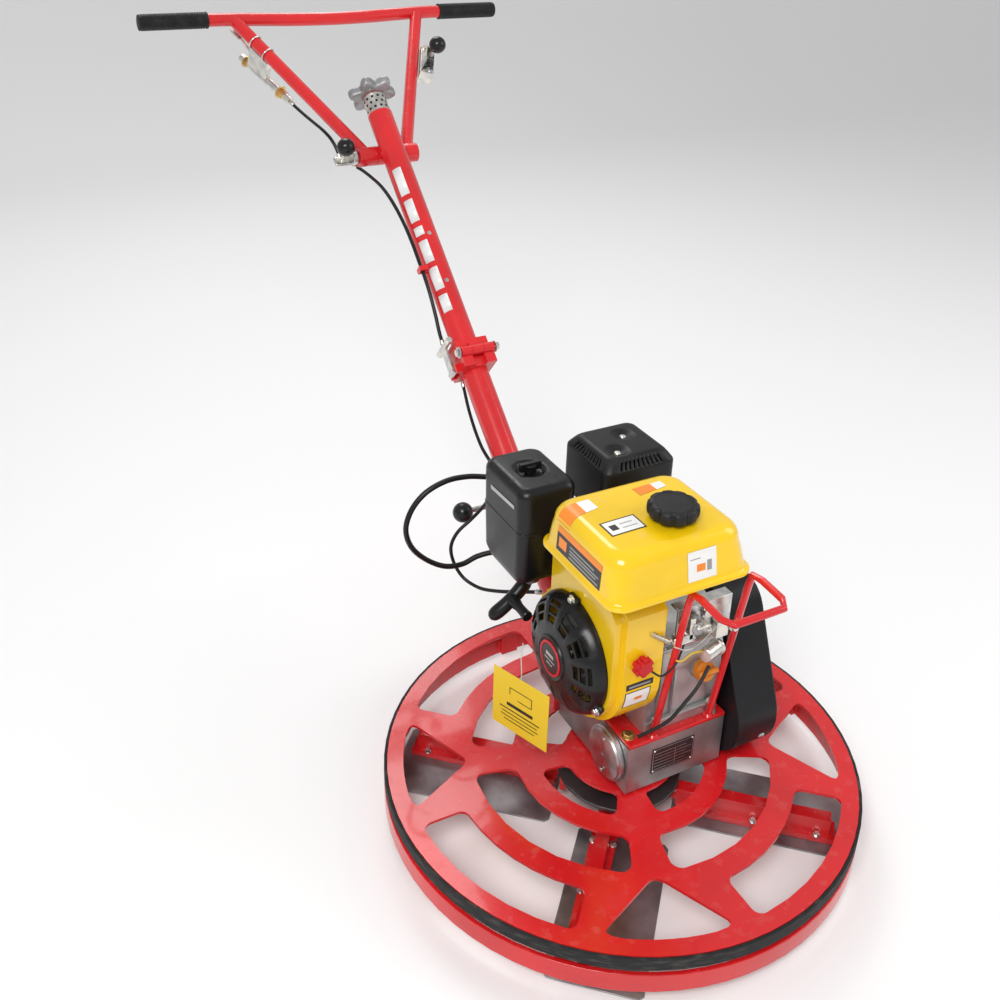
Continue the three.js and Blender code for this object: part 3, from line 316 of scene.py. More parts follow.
cover_radius = (end_hi.z - end_lo.z) * 500
turned(
    "end_cover_turned",
    [
        (0, 0), (cover_radius - 1, 0), (cover_radius, 0.8), (cover_radius, 5), (cover_radius - 1.6, 6.4),
        (cover_radius - 3, 6.6), (cover_radius - 4, 9.2), (cover_radius - 5.2, 9.9), (3, 9.9), (2.2, 9.2),
        (0, 9),
    ],
    Vector((end_hi.x, end_middle.y, end_middle.z)), (-1, 0, 0),
    cover_metal, "chassis", sides=72,
)
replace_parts(bpy.data.objects["end_cover_turned"], "gearbox_end_cover")
bright_zinc = Finish("bright zinc plate", (0.58, 0.57, 0.54), 0.3, metallic=1.0)
zinc_patches = bright_zinc.noise(60, 4)
bright_zinc.feed(
    "Base Color", bright_zinc.mixed(zinc_patches.between(0.35, 0.65), (0.55, 0.55, 0.56), (0.8, 0.78, 0.7)),
)
bright_zinc.feed("Roughness", zinc_patches * 0.25 + 0.18)
bright_zinc.bump(bright_zinc.noise(1500, 2), 0.00004, 0.5)


def hex_bolt(name, place, axis, across_flats, finish, body, height=None, washer=True):
    """A hexagon head with a chamfered crown and a washer under it. Sizes in millimetres."""
    height = height or across_flats * 0.62
    radius = across_flats / math.sqrt(3)
    shape = bmesh.new()
    turn = Vector((0, 0, 1)).rotation_difference(Vector(axis).normalized()).to_matrix()
    low = 1.4 if washer else 0

    def loop(size, z, sides, phase=0.0):
        points = []
        for k in range(sides):
            around = 2 * math.pi * (k + phase) / sides
            points.append(
                shape.verts.new(
                    place + turn @ (Vector((math.cos(around) * size, math.sin(around) * size, z)) * 0.001)
                )
            )
        return points

    def wall(rows, sides):
        for under, over in zip(rows, rows[1:]):
            for k in range(sides):
                shape.faces.new((under[k], under[(k + 1) % sides], over[(k + 1) % sides], over[k]))
        shape.faces.new(rows[-1])
        shape.faces.new(list(reversed(rows[0])))

    if washer:
        ring = radius * 1.38
        wall([loop(ring, 0, 28), loop(ring, 1.1, 28), loop(ring - 0.4, 1.4, 28)], 28)
    top = low + height
    wall([loop(radius, low, 6), loop(radius, top - 0.9, 6), loop(radius * 0.86, top, 6)], 6)
    return finished(name, shape, finish, body, smooth=24)


for k, (side, rise) in enumerate(((0, 26), (0, -26))):
    turned(
        f"end_cover_screw_{k + 1}", [(0, 2.2), (2.2, 2.2), (2.9, 1.5), (2.9, 0)],
        Vector((end_lo.x - 0.0003, end_middle.y + side * 0.001, end_middle.z + rise * 0.001)), (-1, 0, 0),
        bright_zinc, "chassis", sides=20,
    )

# The rating plate: a black anodised strip with a bright border and blank ruled rows, on four rivets.
plate_black = Finish("plate black", (0.02, 0.02, 0.022), 0.38, metallic=0.3)
plate_black.feed("Roughness", plate_black.noise(300, 3) * 0.2 + 0.28)
plate_bright = machined_metal("plate bright", (0.7, 0.7, 0.68), (900, 30, 30), 0.34)


def strip(shape, corners, lift, thick, layer=0):
    """Adds a thin plate on four corners, lifted off and standing out along its own normal."""
    normal = (corners[1] - corners[0]).cross(corners[3] - corners[0]).normalized()
    low = [shape.verts.new(c + normal * lift) for c in corners]
    high = [shape.verts.new(c + normal * (lift + thick)) for c in corners]
    faces = [shape.faces.new(high), shape.faces.new(list(reversed(low)))]
    for k in range(4):
        faces.append(shape.faces.new((low[k], low[(k + 1) % 4], high[(k + 1) % 4], high[k])))
    for face in faces:
        face.material_index = layer


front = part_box("gearbox_housing")[0].y
rating = bmesh.new()


def plate_corners(x0, z0, x1, z1):
    base = spot(-1, 0, 95)
    return [
        Vector((base.x + x * 0.001, front, base.z + z * 0.001))
        for x, z in ((x0, z0), (x1, z0), (x1, z1), (x0, z1))
    ]


strip(rating, plate_corners(0, 0, 66, 40), 0.0003, 0.0006)
for row in range(6):
    strip(rating, plate_corners(4, 5 + row * 5.2, 62 - 9 * (row % 2), 5.5 + row * 5.2), 0.0009, 0.0001, 1)
for edge in (
    (1.2, 1.2, 64.8, 1.8), (1.2, 38.2, 64.8, 38.8), (1.2, 1.8, 1.8, 38.2), (64.2, 1.8, 64.8, 38.2),
    (36, 6, 36.5, 30),
):
    strip(rating, plate_corners(*edge), 0.0009, 0.0001, 1)
finished("rating_plate", rating, [plate_black, plate_bright], "chassis")
for k, (x, z) in enumerate(((3, 3), (63, 3), (63, 37), (3, 37))):
    turned(
        f"rating_plate_rivet_{k + 1}", [(0, 1.2), (1.2, 1.0), (1.7, 0)],
        plate_corners(x, z, x, z)[0] - Vector((0, 0.0008, 0)),
        (0, -1, 0), bright_zinc, "chassis", sides=16,
    )

# Guard: the red top plate with its windows, the ring under it, and the black rubber strip between them.


def enamel(name, colour, roughness=0.24):
    """Sprayed gloss paint: a thin clear depth, faint orange peel and a trace of dust on what faces up."""
    paint = Finish(name, colour, roughness, coat_weight=0.35, coat_roughness=0.06)
    cloud = paint.noise(7, 3)
    peel = paint.noise(330, 2)
    deep = tuple(c * 0.82 for c in colour)
    coat = paint.mixed(cloud.between(0.3, 0.7), deep, colour)
    dust = paint.facing_up().between(0.6, 1.0) * paint.noise(55, 6).between(0.52, 0.8) * 0.10
    paint.feed("Base Color", paint.mixed(dust, coat, (0.55, 0.46, 0.4)))
    paint.feed("Roughness", cloud * 0.12 + dust * 1.5 + roughness - 0.05)
    paint.bump(peel + paint.noise(60, 2) * 2, 0.00022, 0.35)
    return paint


red_enamel = enamel("red enamel", (0.70, 0.012, 0.016))
dressed("guard_plate", red_enamel, 0.0013)
dressed("lower_guard_ring", red_enamel, 0.0013)
bumper_rubber = Finish("bumper rubber", (0.012, 0.012, 0.013), 0.8, specular_ior_level=0.3)
rubber_scuffs = bumper_rubber.noise(45, 6, bumper_rubber.stretched(1, 1, 6))
bumper_rubber.feed(
    "Base Color",
    bumper_rubber.mixed(rubber_scuffs.between(0.45, 0.75), (0.014, 0.014, 0.015), (0.06, 0.058, 0.055)),
)
bumper_rubber.feed("Roughness", rubber_scuffs * 0.3 + 0.55)
bumper_rubber.bump(bumper_rubber.noise(700, 3), 0.0003, 0.6)
dressed("rubber_bumper", bumper_rubber, 0.0008)

# Rotor: the cast spider on the output shaft, four square arms with their pitch fingers, and the blades.
dressed("spider_hub", red_enamel, 0.0012)
collar_iron = cast_metal("collar iron", (0.16, 0.16, 0.165))
dressed("thrust_collar", collar_iron, 0.001)
blade_steel = Finish("rolled blade steel", (0.36, 0.36, 0.37), 0.4, metallic=0.85)
scale_patches = blade_steel.noise(16, 6)
grind = blade_steel.noise(1, 5, blade_steel.stretched(260, 30, 60))
scratches = blade_steel.cells(1, blade_steel.stretched(40, 900, 40))
rust = blade_steel.noise(38, 7).between(0.62, 0.8)
steel_tone = blade_steel.mixed(scale_patches.between(0.3, 0.7), (0.19, 0.19, 0.2), (0.44, 0.44, 0.45))
blade_steel.feed("Base Color", blade_steel.mixed(rust * 0.5, steel_tone, (0.2, 0.11, 0.06)))
blade_steel.feed("Roughness", scale_patches * 0.3 + grind * 0.2 + 0.2)
blade_steel.bump(grind + scratches * 0.3, 0.00008, 0.5)
for k in range(1, 5):
    dressed(f"trowel_arm_{k}", red_enamel, 0.0012)
    dressed(f"blade_{k}", blade_steel, 0.0004)
    hinge = Vector(joints[f"blade_pitch_{k}"]["pos_m"]) - rotor_axis
    outward = Vector((hinge.x, hinge.y, 0)).normalized()
    aside = Vector((-outward.y, outward.x, 0))
    for n, (out, off) in enumerate(
        (
            (0.105, 0.0132), (0.187, 0.0132), (0.27, 0.0132), (0.105, -0.0132), (0.187, -0.0132),
            (0.27, -0.0132),
        )
    ):
        place = rotor_axis + outward * out + aside * off
        place.z = 0.0109
        hex_bolt(f"blade_bolt_{k}_{n + 1}", place, (0, 0, 1), 6.4, bright_zinc, f"arm_{k}")

# Engine base: a red steel plate bolted through the gearbox's top, with a brass oil plug at its corner.
dressed("engine_base_plate", red_enamel, 0.0012)
brass = machined_metal("brass", (0.78, 0.56, 0.24), (200, 200, 200), 0.3)
hex_bolt("gearbox_oil_plug", spot(-29, -54, 156.1), (0, 0, 1), 12, brass, "chassis", height=3.2)
for k, (x, y) in enumerate(((-28, 8), (-28, 62), (94, -62), (94, 64))):
    hex_bolt(
        f"base_plate_bolt_{k + 1}", spot(x, y, 156.1), (0, 0, 1), 11, bright_zinc, "chassis",
    )

# Belt drive: a grooved clutch drum and pulley with a rubber belt, inside a folded black steel guard
# that is held by a screw at its foot.
plain("driven_pulley", dark_iron)
plain("clutch_drum", shaft_steel)
belt_rubber = Finish("belt rubber", (0.02, 0.02, 0.02), 0.75)
belt_rubber.bump(belt_rubber.noise(900, 2), 0.0002)
plain("drive_belt", belt_rubber)


def powder_coat(name, colour, roughness=0.36):
    """Satin powder coat: a fine pebble, a few pale rubs and dust where it faces up."""
    coat = Finish(name, colour, roughness, specular_ior_level=0.3)
    cloud = coat.noise(12, 4)
    pebble = coat.noise(650, 2)
    rubs = coat.noise(1, 5, coat.stretched(30, 160, 30)).between(0.62, 0.78)
    dust = coat.facing_up().between(0.5, 1.0) * coat.noise(70, 6).between(0.5, 0.8)
    tone = coat.mixed(cloud.between(0.3, 0.7), tuple(c * 0.7 for c in colour), colour)
    coat.feed("Base Color", coat.mixed(rubs * 0.05 + dust * 0.04, tone, (0.3, 0.3, 0.31)))
    coat.feed("Roughness", cloud * 0.16 + dust * 0.2 + roughness - 0.06)
    coat.bump(pebble, 0.00016, 0.4)
    return coat


black_coat = powder_coat("black powder coat", (0.008, 0.008, 0.01))
dressed("belt_guard", black_coat, 0.004, segments=4, angle=50)
turned(
    "belt_guard_screw", [(0, 3.4), (2.6, 3.0), (4.6, 1.6), (5.2, 0)], spot(160, -95.4, 115),
    (0, -0.93, -0.37),
    bright_zinc, "chassis", sides=28,
)

# Engine block: rough cast aluminium with a machined foot, fins round its leaning cylinder, and its
# orange dipstick cap low on the front.
block_metal = cast_metal("engine casting", (0.56, 0.57, 0.57), 1.3)
dressed("crankcase", block_metal, 0.0015, segments=1)
plain("crankshaft", shaft_steel)
plain("flywheel", block_metal)


def moulded(name, colour, roughness=0.42, grain=900):
    """Moulded plastic with a fine spark texture, faint flow marks and dust on what faces up."""
    resin = Finish(name, colour, roughness, specular_ior_level=0.35)
    flow = resin.noise(18, 4)
    spark = resin.cells(grain)
    dust = resin.facing_up().between(0.55, 1.0) * resin.noise(80, 6).between(0.5, 0.85)
    resin.feed(
        "Base Color",
        resin.mixed(
            dust * 0.05, resin.mixed(flow, tuple(c * 0.75 for c in colour), colour), (0.34, 0.33, 0.31),
        ),
    )
    resin.feed("Roughness", flow * 0.16 + dust * 0.3 + roughness - 0.08)
    resin.bump(spark, 0.00012, 0.35)
    return resin


orange_plastic = moulded("orange plastic", (0.85, 0.27, 0.02))
dressed("oil_filler_cap", orange_plastic, 0.0012)
oil_axis = Vector(joints["oil_cap_turn"]["axis"])
oil_place = Vector(joints["oil_cap_turn"]["pos_m"])


def block(shape, low, high, layer=0, matrix=None):
    """Adds a box between two corners given in millimetres, placed by a matrix or by spot."""
    corners = []
    for x in (low[0], high[0]):
        for y in (low[1], high[1]):
            for z in (low[2], high[2]):
                corners.append(
                    shape.verts.new(matrix @ (Vector((x, y, z)) * 0.001) if matrix else spot(x, y, z))
                )
    for a, b, c, d in ((0, 1, 3, 2), (4, 6, 7, 5), (0, 4, 5, 1), (2, 3, 7, 6), (0, 2, 6, 4), (1, 5, 7, 3)):
        shape.faces.new([corners[k] for k in (a, b, c, d)]).material_index = layer


def eased_shape(shape, ease, segments=2, angle=30):
    """Rounds every sharp edge of a shape that is still being built."""
    bmesh.ops.recalc_face_normals(shape, faces=shape.faces)
    sharp = [
        e
        for e in shape.edges if len(e.link_faces) == 2 and e.calc_face_angle(0) > math.radians(angle)
    ]
    bmesh.ops.bevel(
        shape, geom=sharp, offset=ease, offset_type="OFFSET", segments=segments,
        profile=0.5, affect="EDGES", clamp_overlap=True,
    )
    return shape


def facing(place, axis):
    """A matrix at a place whose Z runs along the axis."""
    return Matrix.Translation(place) @ Vector((0, 0, 1)).rotation_difference(
        Vector(axis).normalized()
    ).to_matrix().to_4x4()


grip_tab = bmesh.new()
block(grip_tab, (-15, -3.5, 11), (15, 3.5, 19), matrix=facing(oil_place, oil_axis))
finished("oil_cap_tab", eased_shape(grip_tab, 0.0022, 3), orange_plastic, "oil_cap_body")

# Fan housing: a deep-drawn steel shroud in yellow gloss enamel, bolted round the flywheel, that rises
# to the tank; the red stop switch turns in its front.
yellow_enamel = enamel("yellow enamel", (0.94, 0.6, 0.004), 0.2)
dressed("fan_housing", yellow_enamel, 0.0045, segments=4, angle=40)
red_plastic = moulded("red plastic", (0.62, 0.012, 0.02), 0.35)
dressed("engine_switch_knob", red_plastic, 0.0012, segments=3)

# Recoil starter: a moulded black bell over the pull-rope reel, louvred for the cooling air, on three
# screwed lugs, with a round badge that is a red ring on black.
black_plastic = moulded("black plastic", (0.007, 0.007, 0.008), 0.3)
crank = Vector(joints["crank_spin"]["pos_m"])
bell_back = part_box("recoil_cover")[1].x
bell = bmesh.new()
SECTORS = 96
profile = [
    (20, 34.0), (27, 34.0), (28.2, 34.6), (30, 34.2), (31, 32.0), (38, 31.2), (45, 30.4), (48, 29.6),
    (56, 27.4), (58.5, 26.6), (67, 23.4), (69.5, 21.6), (73, 17.6), (76, 13.4), (78.4, 8.6), (80, 4),
    (80, 0),
]
rows = []
for radius, height in profile:
    row = []
    for k in range(SECTORS):
        around = 2 * math.pi * k / SECTORS
        rib = 1.1 if 45 < radius < 79 and k % 8 in (0, 1) else 0
        row.append(bell.verts.new(Vector((
            bell_back - (height + rib) * 0.001,
            crank.y + math.cos(around) * radius * 0.001,
            crank.z + math.sin(around) * radius * 0.001,
        ))))
    rows.append(row)
for r, (inner, outer) in enumerate(zip(rows, rows[1:])):
    for k in range(SECTORS):
        window = r in (7, 9, 11) and k % 8 not in (0, 1, 7) and not 52 < k < 92
        if not window:
            bell.faces.new((inner[k], inner[(k + 1) % SECTORS], outer[(k + 1) % SECTORS], outer[k]))
bell.faces.new(rows[0])
bell_piece = finished("recoil_bell", bell, black_plastic, "chassis", smooth=30)
wall = bell_piece.modifiers.new("moulded wall", "SOLIDIFY")
wall.thickness, wall.offset = 0.0024, -1
lip = bell_piece.modifiers.new("moulded lips", "BEVEL")
lip.width, lip.segments, lip.limit_method, lip.angle_limit = 0.0005, 2, "ANGLE", math.radians(50)
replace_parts(bell_piece, "recoil_cover")
badge_black = moulded("badge black", (0.012, 0.012, 0.014), 0.2, 2000)
turned(
    "recoil_badge", [(0, 0.9), (19.5, 0.9), (20, 0.4), (20, 0)],
    Vector((bell_back - 0.0341, crank.y, crank.z)), (-1, 0, 0), badge_black, "chassis",
)
turned(
    "recoil_badge_ring", [(20.4, 0), (20.4, 1.2), (23.6, 1.2), (24, 0)],
    Vector((bell_back - 0.0341, crank.y, crank.z)), (-1, 0, 0),
    red_plastic, "chassis",
)
badge_bars = bmesh.new()
for low, high in (((-9, 3), (9, 8)), ((-12, -3), (12, -1)), ((-7, -9), (7, -7))):
    corners = [
        Vector((bell_back - 0.0351, crank.y - y * 0.001, crank.z + z * 0.001))
        for y, z in ((low[0], low[1]), (high[0], low[1]), (high[0], high[1]), (low[0], high[1]))
    ]
    strip(badge_bars, corners, 0.0, 0.0002)
finished("recoil_badge_bars", badge_bars, plate_bright, "chassis")
for k, degrees in enumerate((60, 180, 300)):
    around = math.radians(degrees + 30)
    outward = Vector((0, math.cos(around), math.sin(around)))
    sideways = Vector((0, -outward.z, outward.y))
    lug = bmesh.new()
    place = Vector((bell_back, crank.y, crank.z)) + outward * 0.0805
    frame_of_lug = Matrix((Vector((-1, 0, 0)), sideways, outward)).transposed().to_4x4()
    frame_of_lug.translation = place
    block(lug, (0, -10, -9), (7, 10, 5.3), matrix=frame_of_lug)
    finished(f"recoil_lug_{k + 1}", eased_shape(lug, 0.0024, 3), black_plastic, "chassis")
    hex_bolt(
        f"recoil_screw_{k + 1}", place + Vector((-0.0069, 0, 0)), (-1, 0, 0), 8, bright_zinc, "chassis",
        height=3.4,
    )


def lathe_grip(name, points, radii, finish, body, sides=24):
    """A solid with a round section that changes along a path: points in metres, radii in millimetres."""
    shape = bmesh.new()
    rows = []
    for k, (point, radius) in enumerate(zip(points, radii)):
        ahead = points[min(k + 1, len(points) - 1)] - points[max(k - 1, 0)]
        turn = Vector((0, 0, 1)).rotation_difference(ahead.normalized()).to_matrix()
        rows.append([
            shape.verts.new(
                point + turn @ Vector(
                    (math.cos(2 * math.pi * s / sides), math.sin(2 * math.pi * s / sides), 0)
                ) * radius * 0.001
            )
            for s in range(sides)
        ])
    for low, high in zip(rows, rows[1:]):
        for s in range(sides):
            shape.faces.new((low[s], low[(s + 1) % sides], high[(s + 1) % sides], high[s]))
    shape.faces.new(rows[0])
    shape.faces.new(rows[-1])
    return finished(name, shape, finish, body)


# Starter grip: a moulded T handle on the rope, parked against the bell's back edge.
crosswise = Vector((0.77, 0, 0.64)).normalized()
grip_middle = spot(-100, 139, 264)
grip_points, grip_radii = [], []
for k in range(25):
    along = -37.5 + 75 * k / 24
    lift = 5 * (along / 37) ** 2
    grip_points.append(grip_middle + crosswise * along * 0.001 + Vector((0, lift * 0.001, 0)))
    edge = 1 - (abs(along) / 38.6) ** 6
    grip_radii.append(11.2 * math.sqrt(max(edge, 0.02)) * (0.86 + 0.14 * (along / 37) ** 2))
t_grip = lathe_grip(
    "starter_t_grip", grip_points, grip_radii, black_plastic, "starter_grip_body",
)
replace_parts(t_grip, "starter_grip")
stem = [spot(-100, y, 266) for y in (92.6, 94, 104, 116, 126, 134)]
lathe_grip(
    "starter_grip_stem", stem, (6.4, 7.4, 6.6, 6.4, 8.2, 10), black_plastic, "starter_grip_body",
)

# Fuel tank: two deep-drawn pressings in yellow enamel, seamed at a flange, with a moulded screw cap.


def rounded_loop(x0, x1, y0, y1, radius, z, corner=8, side=10):
    """Points round a rounded rectangle in millimetres, the same count for any size."""
    points = []
    centres = (
        (x1 - radius, y0 + radius, -90), (x1 - radius, y1 - radius, 0), (x0 + radius, y1 - radius, 90),
        (x0 + radius, y0 + radius, 180),
    )
    for k, (cx, cy, start) in enumerate(centres):
        for step in range(corner + 1):
            a = math.radians(start + 90 * step / corner)
            points.append((cx + radius * math.cos(a), cy + radius * math.sin(a), z))
        nx, ny, turn = centres[(k + 1) % 4]
        a, b = math.radians(start + 90), math.radians(turn)
        from_x, from_y = cx + radius * math.cos(a), cy + radius * math.sin(a)
        to_x, to_y = nx + radius * math.cos(b), ny + radius * math.sin(b)
        for step in range(1, side):
            t = step / side
            points.append((from_x + (to_x - from_x) * t, from_y + (to_y - from_y) * t, z))
    return points


def pressed(sections, crown, crown_steps=14, corner=8, side=10, skipped=None, dimple=None):
    """A shell drawn over rounded-rectangle sections, closed by a crown that shrinks to its middle."""
    shape = bmesh.new()
    loops = [rounded_loop(*s[1:], s[0], corner, side) for s in sections]
    last = sections[-1]
    middle_x, middle_y = (last[1] + last[2]) / 2, (last[3] + last[4]) / 2
    for step in range(1, crown_steps):
        share = 1 - step / crown_steps
        rise = crown * (1 - share * share)
        loops.append(
            [
                (middle_x + (x - middle_x) * share, middle_y + (y - middle_y) * share, z + rise)
                for x, y, z in loops[len(sections) - 1]
            ]
        )
    rows = []
    for loop in loops:
        rows.append(
            [
                shape.verts.new(spot(x, y, z + (dimple(x, y) if dimple and z > last[0] - 0.01 else 0)))
                for x, y, z in loop
            ]
        )
    count = len(rows[0])
    for r, (low, high) in enumerate(zip(rows, rows[1:])):
        for k in range(count):
            if not (skipped and skipped(r, k)):
                shape.faces.new((low[k], low[(k + 1) % count], high[(k + 1) % count], high[k]))
    shape.faces.new(rows[-1])
    return shape


def arc_sections(base, top, inset, steps=7):
    """Sections from a wall's last section over a quarter round to a crown that is inset all round."""
    out = []
    for step in range(1, steps + 1):
        a = math.pi / 2 * step / steps
        shrink = inset * (1 - math.cos(a))
        out.append((
            base[0] + (top - base[0]) * math.sin(a), base[1] + shrink, base[2] - shrink,
            base[3] + shrink, base[4] - shrink, max(base[5] - shrink * 0.4, 4),
        ))
    return out


seam, tank_crown = 422, 481.5
tank_sections = [
    (390.2, -90, 54, -82, 20, 18), (392, -92, 56, -84, 22, 18), (400, -100, 64, -92, 28, 20),
    (seam - 3, -104, 66, -94, 30, 22),
    (seam - 2.4, -117.5, 78.5, -124.5, 46.5, 21), (seam - 1.6, -119, 80, -126, 48, 22),
    (seam + 1.8, -119, 80, -126, 48, 22),
    (seam + 2.8, -118.2, 79.2, -125.2, 47.2, 22), (seam + 3.2, -117, 78, -123.6, 45.8, 22),
    (seam + 4.2, -115.8, 76.8, -121.8, 44.4, 22),
    (seam + 7, -115, 75.6, -120.6, 43.4, 22), (seam + 18, -114.2, 73.6, -118.4, 41.6, 23),
    (seam + 30, -113.6, 71.6, -116.2, 39.8, 24),
    (seam + 40, -112.4, 69.4, -113.8, 37.8, 25),
]
tank_sections += arc_sections(tank_sections[-1], tank_crown, 17, 9)
tank = finished(
    "tank_pressing", pressed(tank_sections, 1.6, 16), yellow_enamel, "chassis", smooth=50,
)
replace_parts(tank, "fuel_tank")
tank.modifiers.new("flat faces stay flat", "WEIGHTED_NORMAL").keep_sharp = True
cap_place = Vector(joints["fuel_cap_turn"]["pos_m"])
cap_shape = bmesh.new()
CAP_STEPS = 120
cap_rows = []
for radius, height, wave in (
    (24, 1.2, 0), (28.5, 1.2, 0.6), (29.6, 2.4, 1), (30.8, 6, 1), (31, 10, 1), (30.6, 13.4, 1),
    (29.4, 15.6, 0.9), (27.4, 17, 0.55),
    (25.2, 17.9, 0.2), (23.6, 18.2, 0), (22.6, 17.2, 0), (12, 17.6, 0), (0.6, 17.8, 0),
):
    row = []
    for k in range(CAP_STEPS):
        around = 2 * math.pi * k / CAP_STEPS
        lobe = max(0.0, -math.cos(10 * around)) ** 1.5 * 3.4 * wave
        reach = (radius - lobe) * 0.001
        row.append(
            cap_shape.verts.new(
                (
                    cap_place.x + math.cos(around) * reach, cap_place.y + math.sin(around) * reach,
                    0.4862 + height * 0.001,
                )
            )
        )
    cap_rows.append(row)
for low, high in zip(cap_rows, cap_rows[1:]):
    for k in range(CAP_STEPS):
        cap_shape.faces.new((low[k], low[(k + 1) % CAP_STEPS], high[(k + 1) % CAP_STEPS], high[k]))
cap_shape.faces.new(cap_rows[0])
cap_shape.faces.new(cap_rows[-1])
cap_plastic = moulded("cap plastic", (0.012, 0.012, 0.013), 0.5, 1400)
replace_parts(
    finished("fuel_cap_moulding", cap_shape, cap_plastic, "fuel_cap_body"), "fuel_cap",
)

# Stickers: plain printed vinyl without words, laid on the tank and the fan housing.
paper_white = Finish("label white", (0.82, 0.82, 0.8), 0.35)
paper_white.feed("Roughness", paper_white.noise(90, 3) * 0.2 + 0.25)
paper_black = Finish("label black", (0.02, 0.02, 0.02), 0.35)
paper_black.feed("Roughness", paper_black.noise(90, 3) * 0.2 + 0.25)
paper_orange = Finish("label orange", (0.85, 0.24, 0.02), 0.35)
paper_orange.feed("Roughness", paper_orange.noise(90, 3) * 0.2 + 0.25)
paper_grey = Finish("label grey", (0.3, 0.3, 0.3), 0.35)
paper_grey.feed("Roughness", paper_grey.noise(90, 3) * 0.2 + 0.25)
papers = [paper_white, paper_black, paper_orange, paper_grey]


def surface_of(piece):
    """The piece's outer surface, for laying a sticker on."""
    bpy.context.view_layer.update()
    return BVHTree.FromObject(piece, bpy.context.evaluated_depsgraph_get())


def sticker(name, surface, corners, toward, patches, columns=12, rows=8):
    """Vinyl laid on a surface: its corners are thrown along a direction, and each patch is one print."""
    shape = bmesh.new()
    grid = {}
    for i in range(columns + 1):
        for j in range(rows + 1):
            u, v = i / columns, j / rows
            flat = (
                corners[0] * (1 - u) + corners[1] * u
            ) * (1 - v) + (corners[3] * (1 - u) + corners[2] * u) * v
            hit, normal, index, distance = surface.ray_cast(flat - toward * 0.08, toward)
            rest = (hit if hit else flat) - toward * 0.0004
            grid[i, j] = (shape.verts.new(rest), shape.verts.new(rest + toward * 0.0003))
    for i in range(columns):
        for j in range(rows):
            u, v = (i + 0.5) / columns, (j + 0.5) / rows
            layer = 0
            for u0, v0, u1, v1, colour in patches:
                if u0 <= u <= u1 and v0 <= v <= v1:
                    layer = colour
            square = [(i, j), (i + 1, j), (i + 1, j + 1), (i, j + 1)]
            shape.faces.new([grid[p][0] for p in square]).material_index = layer
            shape.faces.new([grid[p][1] for p in reversed(square)]).material_index = layer
    for run in (
        [(i, 0) for i in range(columns + 1)], [(columns, j) for j in range(rows + 1)],
        [(i, rows) for i in range(columns, -1, -1)], [(0, j) for j in range(rows, -1, -1)],
    ):
        for a, b in zip(run, run[1:]):
            shape.faces.new((grid[a][0], grid[a][1], grid[b][1], grid[b][0])).material_index = 1
    return finished(name, shape, papers, "chassis", smooth=50)


tank_skin = surface_of(tank)
left, front_way, down = Vector((1, 0, 0)), Vector((0, 1, 0)), Vector((0, 0, -1))
bars = [
    (0.0, 0.0, 1, 1, 1), (0.0, 0.74, 1, 1, 2), (0.3, 0.1, 0.95, 0.16, 3), (0.3, 0.24, 0.9, 0.3, 3),
    (0.3, 0.38, 0.95, 0.44, 3), (0.3, 0.52, 0.85, 0.58, 3), (0.06, 0.2, 0.22, 0.6, 2),
]
sticker(
    "tank_side_label", tank_skin,
    [spot(-116, y, z) for y, z in ((8, 430), (-88, 430), (-88, 462), (8, 462))], left, bars, 40, 32,
)
sticker(
    "tank_top_label", tank_skin,
    [spot(x, y, 484) for x, y in ((-88, -67), (-41, -67), (-41, -38), (-88, -38))], down,
    [
        (0, 0, 1, 1, 1), (0.04, 0.06, 0.96, 0.94, 0), (0.14, 0.3, 0.34, 0.7, 1), (0.45, 0.3, 0.85, 0.36, 3),
        (0.45, 0.6, 0.8, 0.66, 3),
    ],
    50, 32,
)
sticker(
    "tank_corner_label", tank_skin,
    [spot(x, y, 484) for x, y in ((-112, -14), (-70, -8), (-70, 14), (-112, 14))], down,
    [(0, 0, 0.6, 1, 1), (0.02, 0.04, 0.58, 0.96, 2)], 24, 12,
)
sticker(
    "tank_back_label", tank_skin, [spot(x, y, 484) for x, y in ((-9, -6), (33, 0), (33, 14), (-9, 12))],
    down,
    [(0, 0, 0.62, 1, 2)], 24, 8,
)
sticker(
    "tank_front_label", tank_skin,
    [spot(x, -120, z) for x, z in ((-16, 431), (24, 431), (24, 467), (-16, 467))], front_way,
    [(0.08, 0.7, 0.45, 0.76, 3), (0.3, 0.3, 0.62, 0.52, 2), (0.66, 0.25, 0.84, 0.6, 3)], 36, 28,
)
fan_skin = surface_of(bpy.data.objects["fan_housing_finished"])
sticker(
    "fan_housing_label", fan_skin,
    [spot(x, -92, z) for x, z in ((-64, 236), (-27, 236), (-27, 262), (-64, 262))], front_way,
    [(0, 0, 1, 1, 1), (0.04, 0.06, 0.96, 0.94, 0), (0.4, 0.35, 0.7, 0.6, 2)], 30, 22,
)
sticker(
    "fan_housing_strip", fan_skin,
    [spot(x, -92, z) for x, z in ((-64, 266), (-25, 266), (-25, 275), (-64, 275))], front_way,
    [(0, 0, 1, 1, 1), (0.1, 0.3, 0.9, 0.6, 3)], 30, 10,
)

